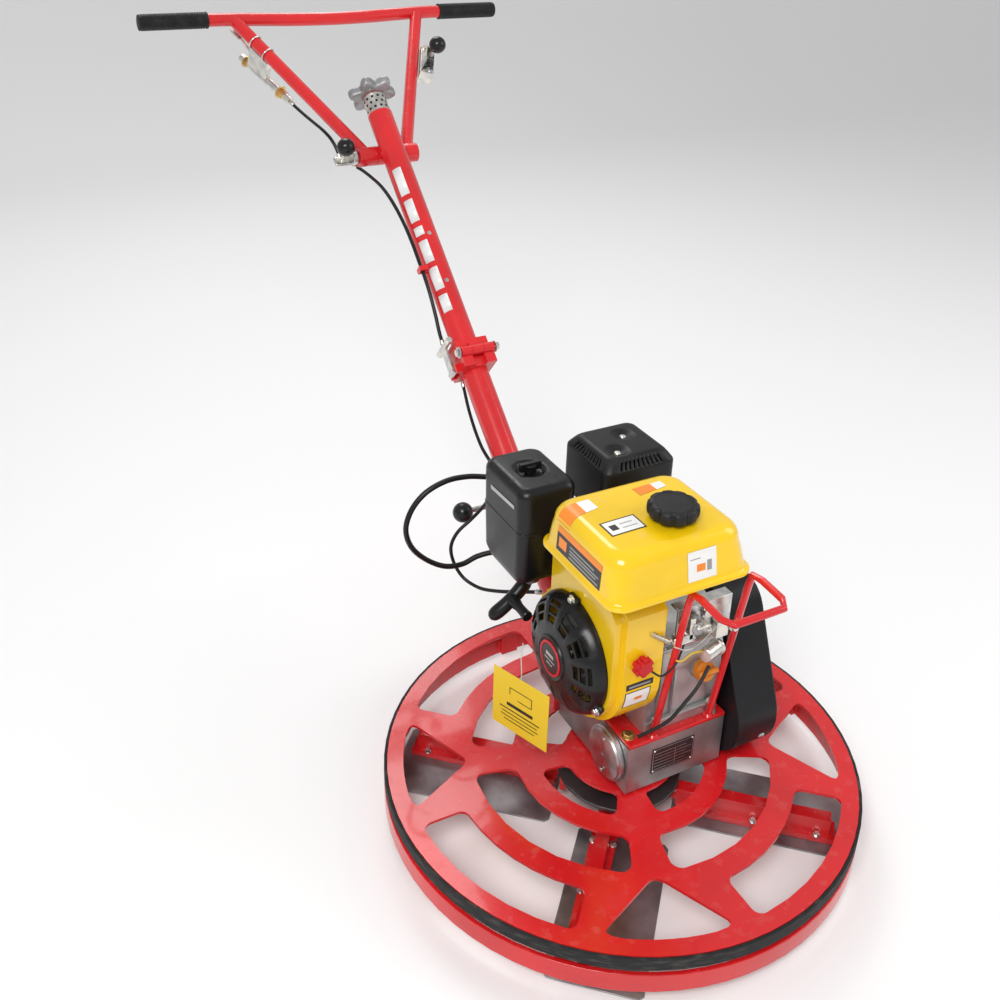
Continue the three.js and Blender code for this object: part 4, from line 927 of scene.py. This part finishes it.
# Air cleaner: a black moulded cover over a base with a drain loop, held by a wing nut in a dish.
air_x, air_y = -84, 131
air_sections = [
    (402.2, air_x - 38.6, air_x + 38.6, air_y - 52.6, air_y + 52.6, 13),
    (402.2, air_x - 40.4, air_x + 40.4, air_y - 54.4, air_y + 54.4, 14),
]
air_sections += [
    (405.4, air_x - 40.8, air_x + 40.8, air_y - 54.8, air_y + 54.8, 14),
    (406.4, air_x - 40.2, air_x + 40.2, air_y - 54.2, air_y + 54.2, 14),
]
air_sections += [
    (407.4, air_x - 40, air_x + 40, air_y - 54, air_y + 54, 14),
    (430, air_x - 40.5, air_x + 40.5, air_y - 54.5, air_y + 54.5, 15),
]
air_sections += [(455, air_x - 41, air_x + 41, air_y - 55, air_y + 55, 16)]
air_sections += arc_sections(air_sections[-1], 467.5, 11, 7)


def air_dish(x, y):
    """The dish round the wing nut, in millimetres of depth."""
    reach = math.hypot(x - air_x, y - air_y)
    return -6.4 * max(0.0, min(1.0, (22 - reach) / 6)) ** 1.3


air_cover = finished(
    "air_cleaner_moulding", pressed(air_sections, 0.4, 22, dimple=air_dish, corner=10, side=12),
    black_plastic, "chassis", smooth=50,
)
air_cover.modifiers.new("flat faces stay flat", "WEIGHTED_NORMAL").keep_sharp = True
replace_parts(air_cover, "air_cleaner_cover")
dressed("air_cleaner_base", black_plastic, 0.0025, segments=3)
dressed("air_cleaner_wing_nut", black_plastic, 0.0012, segments=2)
silver_mark = bmesh.new()
strip(
    silver_mark, [spot(-124.9, y, z) for y, z in ((158, 434), (95, 437), (95, 442), (158, 440))], 0.0002,
    0.0004,
)
finished("air_cleaner_strip", silver_mark, plate_bright, "chassis")

# Muffler: a steel can inside a black sheet guard, louvred along its shoulder and dimpled for two bolts.
plain("muffler_body", dark_iron)
muffler_sections = [
    (404.2, -8.6, 96.6, 67.4, 170.6, 11), (404.2, -10, 98, 66, 172, 12), (440, -10, 98, 66, 172, 12),
    (468, -10, 98, 66, 172, 12),
    (470.5, -9.6, 97.6, 66.4, 171.6, 12), (472.5, -8.4, 96.4, 67.6, 170.4, 12),
    (481, -2.2, 90.2, 73.8, 164.2, 12),
    (484, 1.4, 86.6, 77.4, 160.6, 11), (485.4, 5, 83, 81, 157, 10),
]
CORNER, SIDE = 6, 23


def louvre(row, k):
    """The louvre slots: every other step along the shoulder's straight sides."""
    within = k % (CORNER + SIDE)
    return row == 5 and within > CORNER + 1 and within < CORNER + SIDE - 1 and within % 2 == 0


def bolt_dimples(x, y):
    depth = 0
    for cx, cy in ((25, 97), (56, 132)):
        reach = math.hypot(x - cx, y - cy)
        depth -= 5.2 * max(0.0, min(1.0, (17 - reach) / 11)) ** 1.2
    return depth


muffler_coat = powder_coat("heat-proof black", (0.009, 0.009, 0.01), 0.4)
muffler = finished(
    "muffler_guard_sheet", pressed(muffler_sections, 0.4, 24, CORNER, SIDE, louvre, bolt_dimples),
    muffler_coat, "chassis", smooth=60,
)
sheet = muffler.modifiers.new("sheet", "SOLIDIFY")
sheet.thickness, sheet.offset = 0.0016, -1
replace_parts(muffler, "muffler_guard")
for k, (x, y) in enumerate(((25, 97), (56, 132))):
    turned(
        f"muffler_guard_bolt_{k + 1}", [(0, 3), (3.6, 2.4), (5, 0.6), (5, 0)], spot(x, y, 480.6), (0, 0, 1),
        bright_zinc, "chassis", sides=24,
    )

# Carburettor and throttle controls: zinc-plated plates, springs and rods, and die-cast bodies, on the
# cylinder's front and side.
dressed("carburettor", case_metal, 0.0012, segments=2)
dressed("control_plate", bright_zinc, 0.0006, segments=1)
dressed("engine_throttle_arm", bright_zinc, 0.0004, segments=1)


def wire(name, points, radius, finish, body, closed_ends=True):
    """A round wire, hose or bent bar through points in metres."""
    curve = bpy.data.curves.new(name, "CURVE")
    curve.dimensions = "3D"
    curve.bevel_depth = radius * 0.001
    curve.bevel_resolution = 3
    curve.use_fill_caps = closed_ends
    line = curve.splines.new("POLY")
    line.points.add(len(points) - 1)
    for point, place in zip(line.points, points):
        point.co = (*place, 1)
    line.use_smooth = True
    curve.materials.append(finish.material)
    piece = bpy.data.objects.new(name, curve)
    bpy.context.scene.collection.objects.link(piece)
    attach(piece, body)
    return piece


def threaded(points, steps=8):
    """A smooth curve through points, as more points (Catmull-Rom, centripetal)."""
    chain = [points[0] * 2 - points[1], *points, points[-1] * 2 - points[-2]]
    out = []
    for a, b, c, d in zip(chain, chain[1:], chain[2:], chain[3:]):
        knots = [0.0]
        for p, q in ((a, b), (b, c), (c, d)):
            knots.append(knots[-1] + max((q - p).length, 1e-9) ** 0.5)
        for step in range(steps):
            t = knots[1] + (knots[2] - knots[1]) * step / steps
            level = [a, b, c, d]
            spans = [(0, 1), (1, 2), (2, 3)]
            row = [
                level[i] * (
                    (knots[j] - t) / (knots[j] - knots[i])
                ) + level[j] * ((t - knots[i]) / (knots[j] - knots[i]))
                for i, j in spans
            ]
            row = [
                row[n] * (
                    (knots[n + 2] - t) / (knots[n + 2] - knots[n])
                ) + row[n + 1] * ((t - knots[n]) / (knots[n + 2] - knots[n]))
                for n in (0, 1)
            ]
            out.append(
                row[0] * (
                    (knots[2] - t) / (knots[2] - knots[1])
                ) + row[1] * ((t - knots[1]) / (knots[2] - knots[1]))
            )
    out.append(points[-1])
    return out


def spring(name, start, end, radius, gauge, turns, finish, body):
    """A close-wound tension spring with a hook at each end."""
    way = (end - start)
    turn = Vector((0, 0, 1)).rotation_difference(way.normalized()).to_matrix()
    points = [start]
    for k in range(turns * 14 + 1):
        t = k / (turns * 14)
        around = 2 * math.pi * k / 14
        points.append(
            start + way * (0.14 + 0.72 * t) + turn @ Vector(
                (math.cos(around), math.sin(around), 0)
            ) * radius * 0.001
        )
    points.append(end)
    return wire(name, points, gauge, finish, body)


linkage_lever = bmesh.new()
block(linkage_lever, (-6, -96, 318), (22, -94, 330))
block(linkage_lever, (16, -96, 322), (24, -94, 352))
block(linkage_lever, (24, -100, 336), (44, -84, 340))
finished("governor_lever", eased_shape(linkage_lever, 0.0006, 1), bright_zinc, "chassis")
turned(
    "governor_boss", [(0, 16), (8, 16), (9, 15), (9, 6), (12, 5), (12, 0), (0, 0)], spot(28, -82, 336),
    (0, -1, 0), case_metal, "chassis",
)
turned(
    "solenoid_can", [(0, 30), (8.4, 30), (9.4, 29), (9.4, 4), (11, 3), (11, 0), (0, 0)], spot(70, -88, 290),
    (-0.94, -0.34, 0.05), bright_zinc, "chassis",
)
spring(
    "governor_spring", spot(-8, -97, 326), spot(-40, -84, 346), 3.2, 0.5, 16, bright_zinc, "chassis",
)
spring(
    "throttle_return_spring", spot(52, -95, 322), spot(20, -97, 344), 2.6, 0.45, 14, bright_zinc, "chassis",
)
wire(
    "governor_rod",
    threaded([spot(-8, -98, 322), spot(12, -100, 312), spot(36, -96, 314), spot(60, -92, 326)]), 0.9,
    bright_zinc, "chassis",
)
lead_yellow = moulded("yellow lead", (0.72, 0.5, 0.05), 0.45)
lead_black = moulded("black lead", (0.02, 0.02, 0.02), 0.45)
wire(
    "ignition_lead",
    threaded(
        [spot(-4, -86, 300), spot(4, -98, 296), spot(20, -100, 304), spot(36, -98, 300), spot(40, -90, 290)]
    ),
    1.3, lead_yellow, "chassis",
)
wire(
    "stop_lead",
    threaded(
        [
            spot(-38, -96, 296), spot(-22, -99, 284), spot(0, -96, 292), spot(10, -92, 306),
            spot(20, -84, 310),
        ]
    ),
    1.3, lead_black, "chassis",
)
wire(
    "oil_alarm_lead",
    threaded(
        [
            spot(60, -88, 262), spot(40, -96, 244), spot(20, -96, 222), spot(4, -92, 200),
            spot(-10, -80, 180), spot(-22, -66, 162),
        ]
    ),
    2.4,
    lead_black, "chassis",
)
ribs = bmesh.new()
for low, high in (
    ((0, -67, 172), (86, -60, 178)), ((4, -66, 178), (8, -60, 292)), ((26, -66, 178), (30, -60, 250)),
    ((0, -67, 284), (50, -60, 289)),
):
    block(ribs, low, high)
finished("crankcase_ribs", eased_shape(ribs, 0.0012, 2), block_metal, "chassis")
for k, (x, y, z, size) in enumerate(
    (
        (-10, -71, 340, 9), (86, -93, 318, 8), (4, -64, 176, 9), (90, -64, 176, 9), (26, -86, 318, 8),
        (-6, -63, 250, 8),
    )
):
    hex_bolt(f"engine_bolt_{k + 1}", spot(x, y, z), (0, -1, 0), size, bright_zinc, "chassis")

# Lifting bail: one bent steel bar over the tank, its feet welded to the base plate's front edge.
dressed("lifting_bail", red_enamel, 0.0004, segments=1)
for k, x in enumerate((0.3, 88.6)):
    turned(
        f"bail_weld_{k + 1}", [(0, 3.2), (4.6, 3.2), (6.6, 1.2), (7.6, 0), (0, 0)], spot(x, -66.4, 156.1),
        (0, 0, 1), red_enamel, "chassis", sides=28,
    )

# Lower handle: welded socket plates bolted to the gearbox's back and a steel tube up to the hinged
# fold clamp, with a sprung lock pin near its foot.
lean = math.atan2(Vector(joints["pitch_knob_turn"]["axis"]).z, Vector(joints["pitch_knob_turn"]["axis"]).y)
on_handle = Matrix.Translation(spot(0, 112, 150)) @ Matrix.Rotation(lean, 4, "X")


def handle_point(x, y, z):
    """A point in the handle's own frame: Y runs up the tube, Z stands off its upper side."""
    return on_handle @ (Vector((x, y, z)) * 0.001)


up_tube = on_handle.to_3x3() @ Vector((0, 1, 0))
off_tube = on_handle.to_3x3() @ Vector((0, 0, 1))
sideways = Vector((1, 0, 0))
dressed("lower_handle", red_enamel, 0.0008, segments=1)
for k, (x, z) in enumerate(((-33, 92), (33, 92), (-33, 134), (33, 134))):
    hex_bolt(
        f"handle_foot_bolt_{k + 1}", spot(x, 104.3, z), (0, 1, 0), 11, bright_zinc, "chassis",
        height=5,
    )
hex_bolt(
    "fold_pivot_nut", handle_point(30, 479.7, 34), (1, 0, 0), 11, bright_zinc, "chassis",
    height=5.6,
)
hex_bolt(
    "fold_pivot_head", handle_point(-30, 479.7, 34), (-1, 0, 0), 11, bright_zinc, "chassis",
    height=4,
)
knob_black = moulded("phenolic black", (0.012, 0.012, 0.013), 0.16, 2600)


def ball_knob(name, centre, axis, body, radius=15):
    """A moulded ball knob on a threaded rod, with a flat where it meets the rod."""
    profile = [(0, -radius * 0.92), (radius * 0.38, -radius * 0.92)]
    profile += [
        (radius * math.cos(math.radians(a)), radius * math.sin(math.radians(a)))
        for a in range(-66, 90, 6)
    ]
    profile.append((0, radius))
    return turned(name, profile, centre, axis, knob_black, body, sides=48)


def rod(name, start, end, radius, finish, body, sides=24):
    """A round rod between two places, with its ends chamfered."""
    length = (end - start).length * 1000
    profile = [
        (0, 0), (radius - 0.5, 0), (radius, 0.5), (radius, length - 0.5), (radius - 0.5, length),
        (0, length),
    ]
    return turned(name, profile, start, end - start, finish, body, sides=sides)


pin_ball = ball_knob("lock_pin_ball", handle_point(-96, 246, 0), (-1, 0, 0), "lock_pin_body")
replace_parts(pin_ball, "handle_lock_pin")
rod(
    "lock_pin_rod", handle_point(-85, 246, 0), handle_point(-20, 246, 0), 3.9, bright_zinc, "lock_pin_body",
)
turned(
    "lock_pin_nut", [(0, 5), (7.4, 5), (8.2, 4), (8.2, 1), (7.4, 0), (0, 0)], handle_point(-31.6, 246, 0),
    (-1, 0, 0), bright_zinc,
    "chassis", sides=6, smooth=20,
)

# Fold latch: a pressed zinc lever that swings out from its pivot and hooks over the upper clamp half.
dressed("fold_latch_lever", bright_zinc, 0.0009, segments=2)

# Upper handle: the tube above the fold, with the cross sleeve, a cable guide and the painted collar that
# guides the pitch screw. White stripes stand where the maker's decoration runs.
dressed("upper_handle", red_enamel, 0.0008, segments=1)
white_enamel = Finish("white enamel", (0.78, 0.78, 0.77), 0.3, Coat_Weight=0.25, Coat_Roughness=0.12)
white_wear = white_enamel.noise(60, 5).between(0.6, 0.72)
white_enamel.feed(
    "Base Color", white_enamel.mixed(white_wear * 0.25, (0.78, 0.78, 0.77), (0.5, 0.48, 0.45)),
)
white_enamel.feed("Roughness", white_enamel.noise(25, 3) * 0.16 + 0.2)
white_enamel.bump(white_enamel.noise(240, 2), 0.0001, 0.25)


def tube_patch(name, start, end, middle, spread, finish, radius=21.35):
    """A painted patch on the tube from one place along it to another, wrapping part of the way round."""
    shape = bmesh.new()
    steps = 12
    edges = []
    for along in (start, end):
        row = []
        for k in range(steps + 1):
            around = math.radians(middle - spread / 2 + spread * k / steps)
            row.append(
                shape.verts.new(handle_point(radius * math.sin(around), along, radius * math.cos(around)))
            )
        edges.append(row)
    for k in range(steps):
        shape.faces.new((edges[0][k], edges[0][k + 1], edges[1][k + 1], edges[1][k]))
    piece = finished(name, shape, finish, "upper_handle_body", smooth=60)
    thick = piece.modifiers.new("paint film", "SOLIDIFY")
    thick.thickness, thick.offset = 0.0002, -1
    return piece


for k, (start, end) in enumerate(((560, 590), (600, 640), (650, 690), (700, 716), (726, 768), (778, 830))):
    tube_patch(f"handle_stripe_{k + 1}", start, end, -42, 44, white_enamel)
collar_place = handle_point(0, 948.2, 0)
sleeve_profile = [
    (17.4, 0), (19.1, 0), (19.6, 0.6), (19.6, 4), (19.2, 5), (19.2, 32), (19.6, 33), (19.6, 36),
    (19.1, 36.8), (17.4, 36.8),
]
turned(
    "knob_collar", sleeve_profile, collar_place, up_tube, bright_zinc, "upper_handle_body",
    sides=64,
)
hole_black = Finish("hole shadow", (0.01, 0.01, 0.01), 0.8)
hole_black.feed("Roughness", hole_black.noise(60, 2) * 0.2 + 0.7)
for ring in range(3):
    for k in range(12):
        around = math.radians(30 * k + 15 * (ring % 2))
        outward = sideways * math.sin(around) + off_tube * math.cos(around)
        turned(
            f"collar_hole_{ring + 1}_{k + 1}", [(0, 0.25), (1.9, 0.25), (2.4, 0.1), (2.4, 0), (0, 0)],
            handle_point(0, 956 + 10 * ring, 0) + outward * 0.01915, outward, hole_black,
            "upper_handle_body", sides=14,
        )
for k, along in enumerate((612, 700)):
    turned(
        f"handle_rivet_{k + 1}", [(0, 1.8), (2.6, 1.4), (3.6, 0)],
        handle_point(0, along, 0) + off_tube * 0.0209, off_tube, bright_zinc,
        "upper_handle_body", sides=20,
    )

# Pitch knob: a heavy six-lobed casting in plain grey metal on the adjusting screw, with a raised hub
# that a nut closes.
knob_low = handle_point(0, 986.3, 0)
knob_metal = cast_metal("knob casting", (0.42, 0.42, 0.43), 0.8, 0.6)
knob_shape = bmesh.new()
KNOB_STEPS = 144
knob_rows = []
for shrink, height in (
    (7, 0), (3, 0.6), (1, 2), (0.2, 4.2), (0, 8), (0.2, 12), (1.2, 14.6), (3.4, 16.2), (7, 17), (14, 16.4),
    (18, 16.2),
):
    row = []
    for k in range(KNOB_STEPS):
        around = 2 * math.pi * k / KNOB_STEPS
        lobed = 35.6 + 6.2 * math.cos(6 * around) - 1.4 * abs(math.sin(3 * around)) ** 6
        reach = max(lobed - shrink, 14)
        row.append(knob_shape.verts.new(
            knob_low + up_tube * height * 0.001 + (
                sideways * math.cos(around) - off_tube * math.sin(around)
            ) * reach * 0.001,
        ))
    knob_rows.append(row)
for low, high in zip(knob_rows, knob_rows[1:]):
    for k in range(KNOB_STEPS):
        knob_shape.faces.new((low[k], low[(k + 1) % KNOB_STEPS], high[(k + 1) % KNOB_STEPS], high[k]))
knob_shape.faces.new(knob_rows[0])
knob_shape.faces.new(knob_rows[-1])
star = finished("pitch_star", knob_shape, knob_metal, "pitch_knob_body")
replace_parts(star, "pitch_knob")
turned(
    "pitch_knob_hub", [(0, 21.6), (12, 21.6), (14.6, 20.6), (16, 18.4), (16, 15), (0, 15)], knob_low,
    up_tube, knob_metal,
    "pitch_knob_body", sides=48,
)

# Handlebar: bent steel tube on two straight legs that stand on the cross tube, in the red enamel.
on_bar = on_handle @ Matrix.Translation((0, 0.887, -0.027)) @ Matrix.Rotation(math.radians(-5.7), 4, "X")


def leg_frame(side, share):
    """The frame of a handlebar leg at a share of its length, Y up the leg."""
    foot, top, reach = 37, 174, 333
    at_share = Matrix.Translation((side * (foot + (top - foot) * share) * 0.001, reach * share * 0.001, 0))
    return on_bar @ at_share @ Matrix.Rotation(-side * math.atan2(top - foot, reach), 4, "Z")


def on(matrix, x, y, z):
    """A point given in millimetres in a frame."""
    return matrix @ (Vector((x, y, z)) * 0.001)


dressed("handlebar_frame", red_enamel, 0.0006, segments=1)
grip_rubber = Finish("grip rubber", (0.01, 0.01, 0.011), 0.62, specular_ior_level=0.3)
grip_dust = grip_rubber.noise(60, 6).between(0.45, 0.75)
grip_rubber.feed(
    "Base Color", grip_rubber.mixed(grip_dust * 0.1, (0.009, 0.009, 0.01), (0.14, 0.135, 0.13)),
)
grip_rubber.feed("Roughness", grip_dust * 0.2 + 0.5)
grip_rubber.bump(grip_rubber.noise(1100, 2), 0.0002, 0.5)
for side, word in ((-1, "left"), (1, "right")):
    profile = [(11.9, 0), (13.4, 0), (14.2, 0.8), (14.2, 3.4), (13.2, 4.4)]
    for ridge in range(25):
        start = 6 + ridge * 4.3
        profile += [(13.1, start), (14.0, start + 0.9), (14.0, start + 2.5), (13.1, start + 3.4)]
    profile += [(13.2, 114), (13.6, 115.5), (12.6, 117), (9, 117.9), (0, 118)]
    grip = turned(
        f"rubber_grip_{word}", profile, on(on_bar, side * 218.2, 333, 0),
        on_bar.to_3x3() @ Vector((side, 0, 0)), grip_rubber,
        "handlebar", sides=40,
    )
    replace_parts(grip, f"grip_{word}")

# Throttle: a folded zinc box clamped to the right leg, with a ball-ended lever in its slot.
dressed("throttle_box", bright_zinc, 0.0012, segments=2)
right_leg = leg_frame(1, 0.645)
throttle_ball = ball_knob(
    "throttle_ball", on(right_leg, 35, 3, 42), right_leg.to_3x3() @ Vector((0.12, 0, 1)),
    "throttle_lever_body",
)
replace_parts(throttle_ball, "throttle_lever")
rod(
    "throttle_rod", on(right_leg, 28, 3, 0), on(right_leg, 33, 3, 36), 3.1, bright_zinc,
    "throttle_lever_body",
)
rod(
    "throttle_axle", on(right_leg, 23.6, 3, 1), on(right_leg, 32.4, 3, 1), 5.8, bright_zinc,
    "throttle_lever_body",
)
for k, y in enumerate((-34, 20)):
    hex_bolt(
        f"throttle_screw_{k + 1}", on(right_leg, 30 if y < 0 else 17, y, 14),
        right_leg.to_3x3() @ Vector((0, 0, 1)), 7, bright_zinc, "handlebar",
        height=2.4,
    )

# Clutch lever: a flat zinc lever on a steel clip bracket under the left leg, with the cable's brass
# adjuster through the bracket.
left_leg = leg_frame(-1, 0.775)
dressed("clutch_lever_bracket", bright_zinc, 0.0008, segments=1)
dressed("clutch_lever", bright_zinc, 0.0009, segments=2)
adjuster_way = (on(left_leg, 0, -88, -45) - on(left_leg, 0, 46, -58)).normalized()
for k, (start, length, size) in enumerate(
    ((on(left_leg, 0, 33, -56.8), 9, 14), (on(left_leg, 0, -60, -47.7), 12, 15))
):
    hex_bolt(f"adjuster_nut_{k + 1}", start, adjuster_way, size, brass, "handlebar", height=length)
clip_band = [
    on(
        left_leg, 12.6 * math.sin(math.radians(a)), 18, 12.6 * math.cos(math.radians(a)),
    ) for a in range(-130, 131, 10)
]
for k, shift in enumerate((-34, 0)):
    offset = left_leg.to_3x3() @ Vector((0, shift * 0.001, 0))
    wire(
        f"clutch_clip_{k + 1}", [p + offset for p in clip_band], 1.5, bright_zinc, "handlebar",
    )

# Tilt lock: a zinc lever on the cross tube's clamp screw, with a ball knob standing on it.
tilt_lever = bmesh.new()
block(tilt_lever, (-92.6, -9, -8.9), (-56.8, 9, -3), matrix=on_bar)
tilt_piece = finished(
    "tilt_lock_plate", eased_shape(tilt_lever, 0.0024, 3), bright_zinc, "tilt_lock_body",
)
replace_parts(tilt_piece, "tilt_lock_lever")
way_left = on_bar.to_3x3() @ Vector((-1, 0, 0))
turned(
    "tilt_lock_boss", [(0, 7.8), (9.6, 7.8), (10.8, 6.6), (10.8, 1), (10, 0), (0, 0)],
    on(on_bar, -54.8, 0, 0), way_left, bright_zinc, "tilt_lock_body",
)
rod(
    "tilt_lock_rod", on(on_bar, -77.7, 2, -3), on(on_bar, -77.7, 2, 14), 3.9, bright_zinc, "tilt_lock_body",
)
ball_knob("tilt_lock_ball", on(on_bar, -77.7, 2, 26), on_bar.to_3x3() @ Vector((0, 0, 1)), "tilt_lock_body")

# Control cables: steel inner wire in a black plastic sheath with zinc ferrules, clipped by both ends.
# The clutch cable runs from the adjuster to the engine's back, and the pitch cable loops from the
# lower tube to the gearbox.
sheath = moulded("cable sheath", (0.008, 0.008, 0.009), 0.35, 1500)


def cable(node, body, radius, to_world, *points, ferrule=9):
    """A sheathed cable in place of its node, with a zinc ferrule on each end."""
    path = threaded([to_world(*p) for p in points], 8)
    run = wire(f"{node}_sheath", path, radius, sheath, body)
    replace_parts(run, node)
    for k, (end, inner) in enumerate(((path[0], path[2]), (path[-1], path[-3]))):
        way = (inner - end).normalized()
        turned(
            f"{node}_ferrule_{k + 1}",
            [
                (0, 0), (radius + 0.2, 0), (radius + 0.9, 0.6), (radius + 0.9, ferrule - 0.8),
                (radius + 0.3, ferrule), (0, ferrule),
            ],
            end, way, bright_zinc, body, sides=24,
        )


cable(
    "clutch_cable_bar", "handlebar", 2.9, lambda *p: on(on_bar, *p),
    (-110.4, 174.8, -45), (-104, 158, -43), (-97, 136, -38), (-90, 112, -31), (-82, 86, -24),
    (-75, 62, -22), (-70, 44, -28), (-67, 32, -36),
)
cable(
    "clutch_cable_handle", "upper_handle_body", 2.9, handle_point,
    (-50, 897, -62), (-41, 882, -56), (-34, 852, -40), (-31.5, 821, -22), (-30, 780, -6), (-29, 730, 5),
    (-29, 690, 9), (-29, 655, 9),
    (-29, 630, 9), (-28.5, 600, 5), (-28, 565, -4), (-28, 540, -12), (-26, 520, -20),
)
cable(
    "clutch_cable_engine", "chassis", 2.6, spot,
    (-13, 474, 427), (-20, 432, 392), (-28, 376, 365), (-30, 322, 347), (-44, 298, 340), (-66, 281, 331),
    (-82, 272, 325), (-100, 266, 317),
    (-120, 266, 302), (-129, 268, 280), (-127, 264, 256), (-117, 252, 233), (-104, 230, 226),
    (-91, 200, 235), (-73, 160, 254), (-59, 130, 269),
)
cable(
    "pitch_cable", "chassis", 3.9, spot,
    (-26, 292, 346), (-48, 266, 378), (-82, 250, 392), (-113, 250, 400), (-146, 250, 401), (-178, 250, 389),
    (-198, 250, 367),
    (-206, 250, 340), (-199, 250, 311), (-178, 250, 284), (-146, 250, 262), (-119, 250, 258),
    (-95, 248, 266), (-66, 238, 270),
    (-40, 218, 258), (-31, 196, 238), ferrule=16,
)

# Caution tag: a yellow printed card on a thin string from the starter, with plain bars for its print.
tag_card = Finish("tag card", (0.86, 0.62, 0.03), 0.5)
tag_card.feed("Base Color", tag_card.mixed(tag_card.noise(14, 4), (0.86, 0.62, 0.03), (0.78, 0.54, 0.02)))
tag_card.feed("Roughness", tag_card.noise(90, 2) * 0.2 + 0.4)
tag_frame = Matrix.Translation(spot(-134, 44, 0)) @ Matrix.Rotation(math.radians(21), 4, "Z")
card = bmesh.new()
block(card, (-0.8, -47, 118), (0.8, 47, 210), matrix=tag_frame)
tag_piece = finished("tag_card_sheet", eased_shape(card, 0.0004, 1), tag_card, "chassis")
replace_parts(tag_piece, "caution_tag")
tag_print = bmesh.new()
for low, high in (
    ((-20, 188), (18, 189)), ((-20, 174), (-19, 188)), ((17, 178), (18, 188)), ((-20, 173), (4, 174)),
    ((-22, 158), (22, 163)),
    ((-34, 151), (34, 152.6)), ((-30, 145), (30, 146.2)), ((-32, 139), (32, 140.2)),
    ((-26, 133), (26, 134.2)),
):
    corners = [
        on(tag_frame, -1, y, z)
        for y, z in ((high[0], low[1]), (low[0], low[1]), (low[0], high[1]), (high[0], high[1]))
    ]
    strip(tag_print, corners, 0.0, 0.0002)
finished("tag_bars", tag_print, paper_black, "chassis")
string = Finish("string", (0.6, 0.58, 0.52), 0.8)
string.bump(string.noise(2400, 2), 0.0002, 0.5)
wire(
    "tag_string",
    threaded([on(tag_frame, *p) for p in ((18, 14, 252), (8, 8, 238), (0, 0, 222), (0, 0, 206))]), 0.7,
    string, "chassis",
)

# The stage: a plain pale floor that runs into the backdrop, with soft boxes over both sides.
floor_grey = Finish("stage floor", (0.9, 0.9, 0.9), 0.55)
stage = bmesh.new()
sweep = [(y, z) for y, z in ((-4, 0), (3, 0))] + [
    (3 + 2 * math.sin(math.radians(a)), 2 - 2 * math.cos(math.radians(a)))
    for a in range(6, 91, 6)
] + [(5, 6)]
sweep_rows = [[stage.verts.new((x, y, z)) for x in (-7, 7)] for y, z in sweep]
for near, far in zip(sweep_rows, sweep_rows[1:]):
    stage.faces.new((near[0], near[1], far[1], far[0]))
stage_mesh = bpy.data.meshes.new("stage")
stage.to_mesh(stage_mesh)
stage_mesh.materials.append(floor_grey.material)
stage_mesh.shade_smooth()
stage_piece = bpy.data.objects.new("stage", stage_mesh)
bpy.context.scene.collection.objects.link(stage_piece)
for name, place, size, power in (
    ("key_light", (-1.6, -1.9, 2.6), 1.2, 62), ("fill_light", (2.2, -1.2, 1.8), 1.4, 16),
    ("back_light", (0.4, 2.0, 2.6), 1.2, 24),
):
    lamp = bpy.data.lights.new(name, "AREA")
    lamp.size, lamp.energy = size, power
    lamp_piece = bpy.data.objects.new(name, lamp)
    bpy.context.scene.collection.objects.link(lamp_piece)
    lamp_piece.location = place
    lamp_piece.rotation_euler = (Vector((0, 0, 0.3)) - Vector(place)).to_track_quat("-Z", "Y").to_euler()
world = bpy.data.worlds.new("studio")
world.use_nodes = True
world.node_tree.nodes["Background"].inputs["Color"].default_value = (1, 1, 1, 1)
world.node_tree.nodes["Background"].inputs["Strength"].default_value = 0.55
bpy.context.scene.world = world
bpy.context.scene.view_settings.view_transform = "Standard"

bpy.context.view_layer.update()
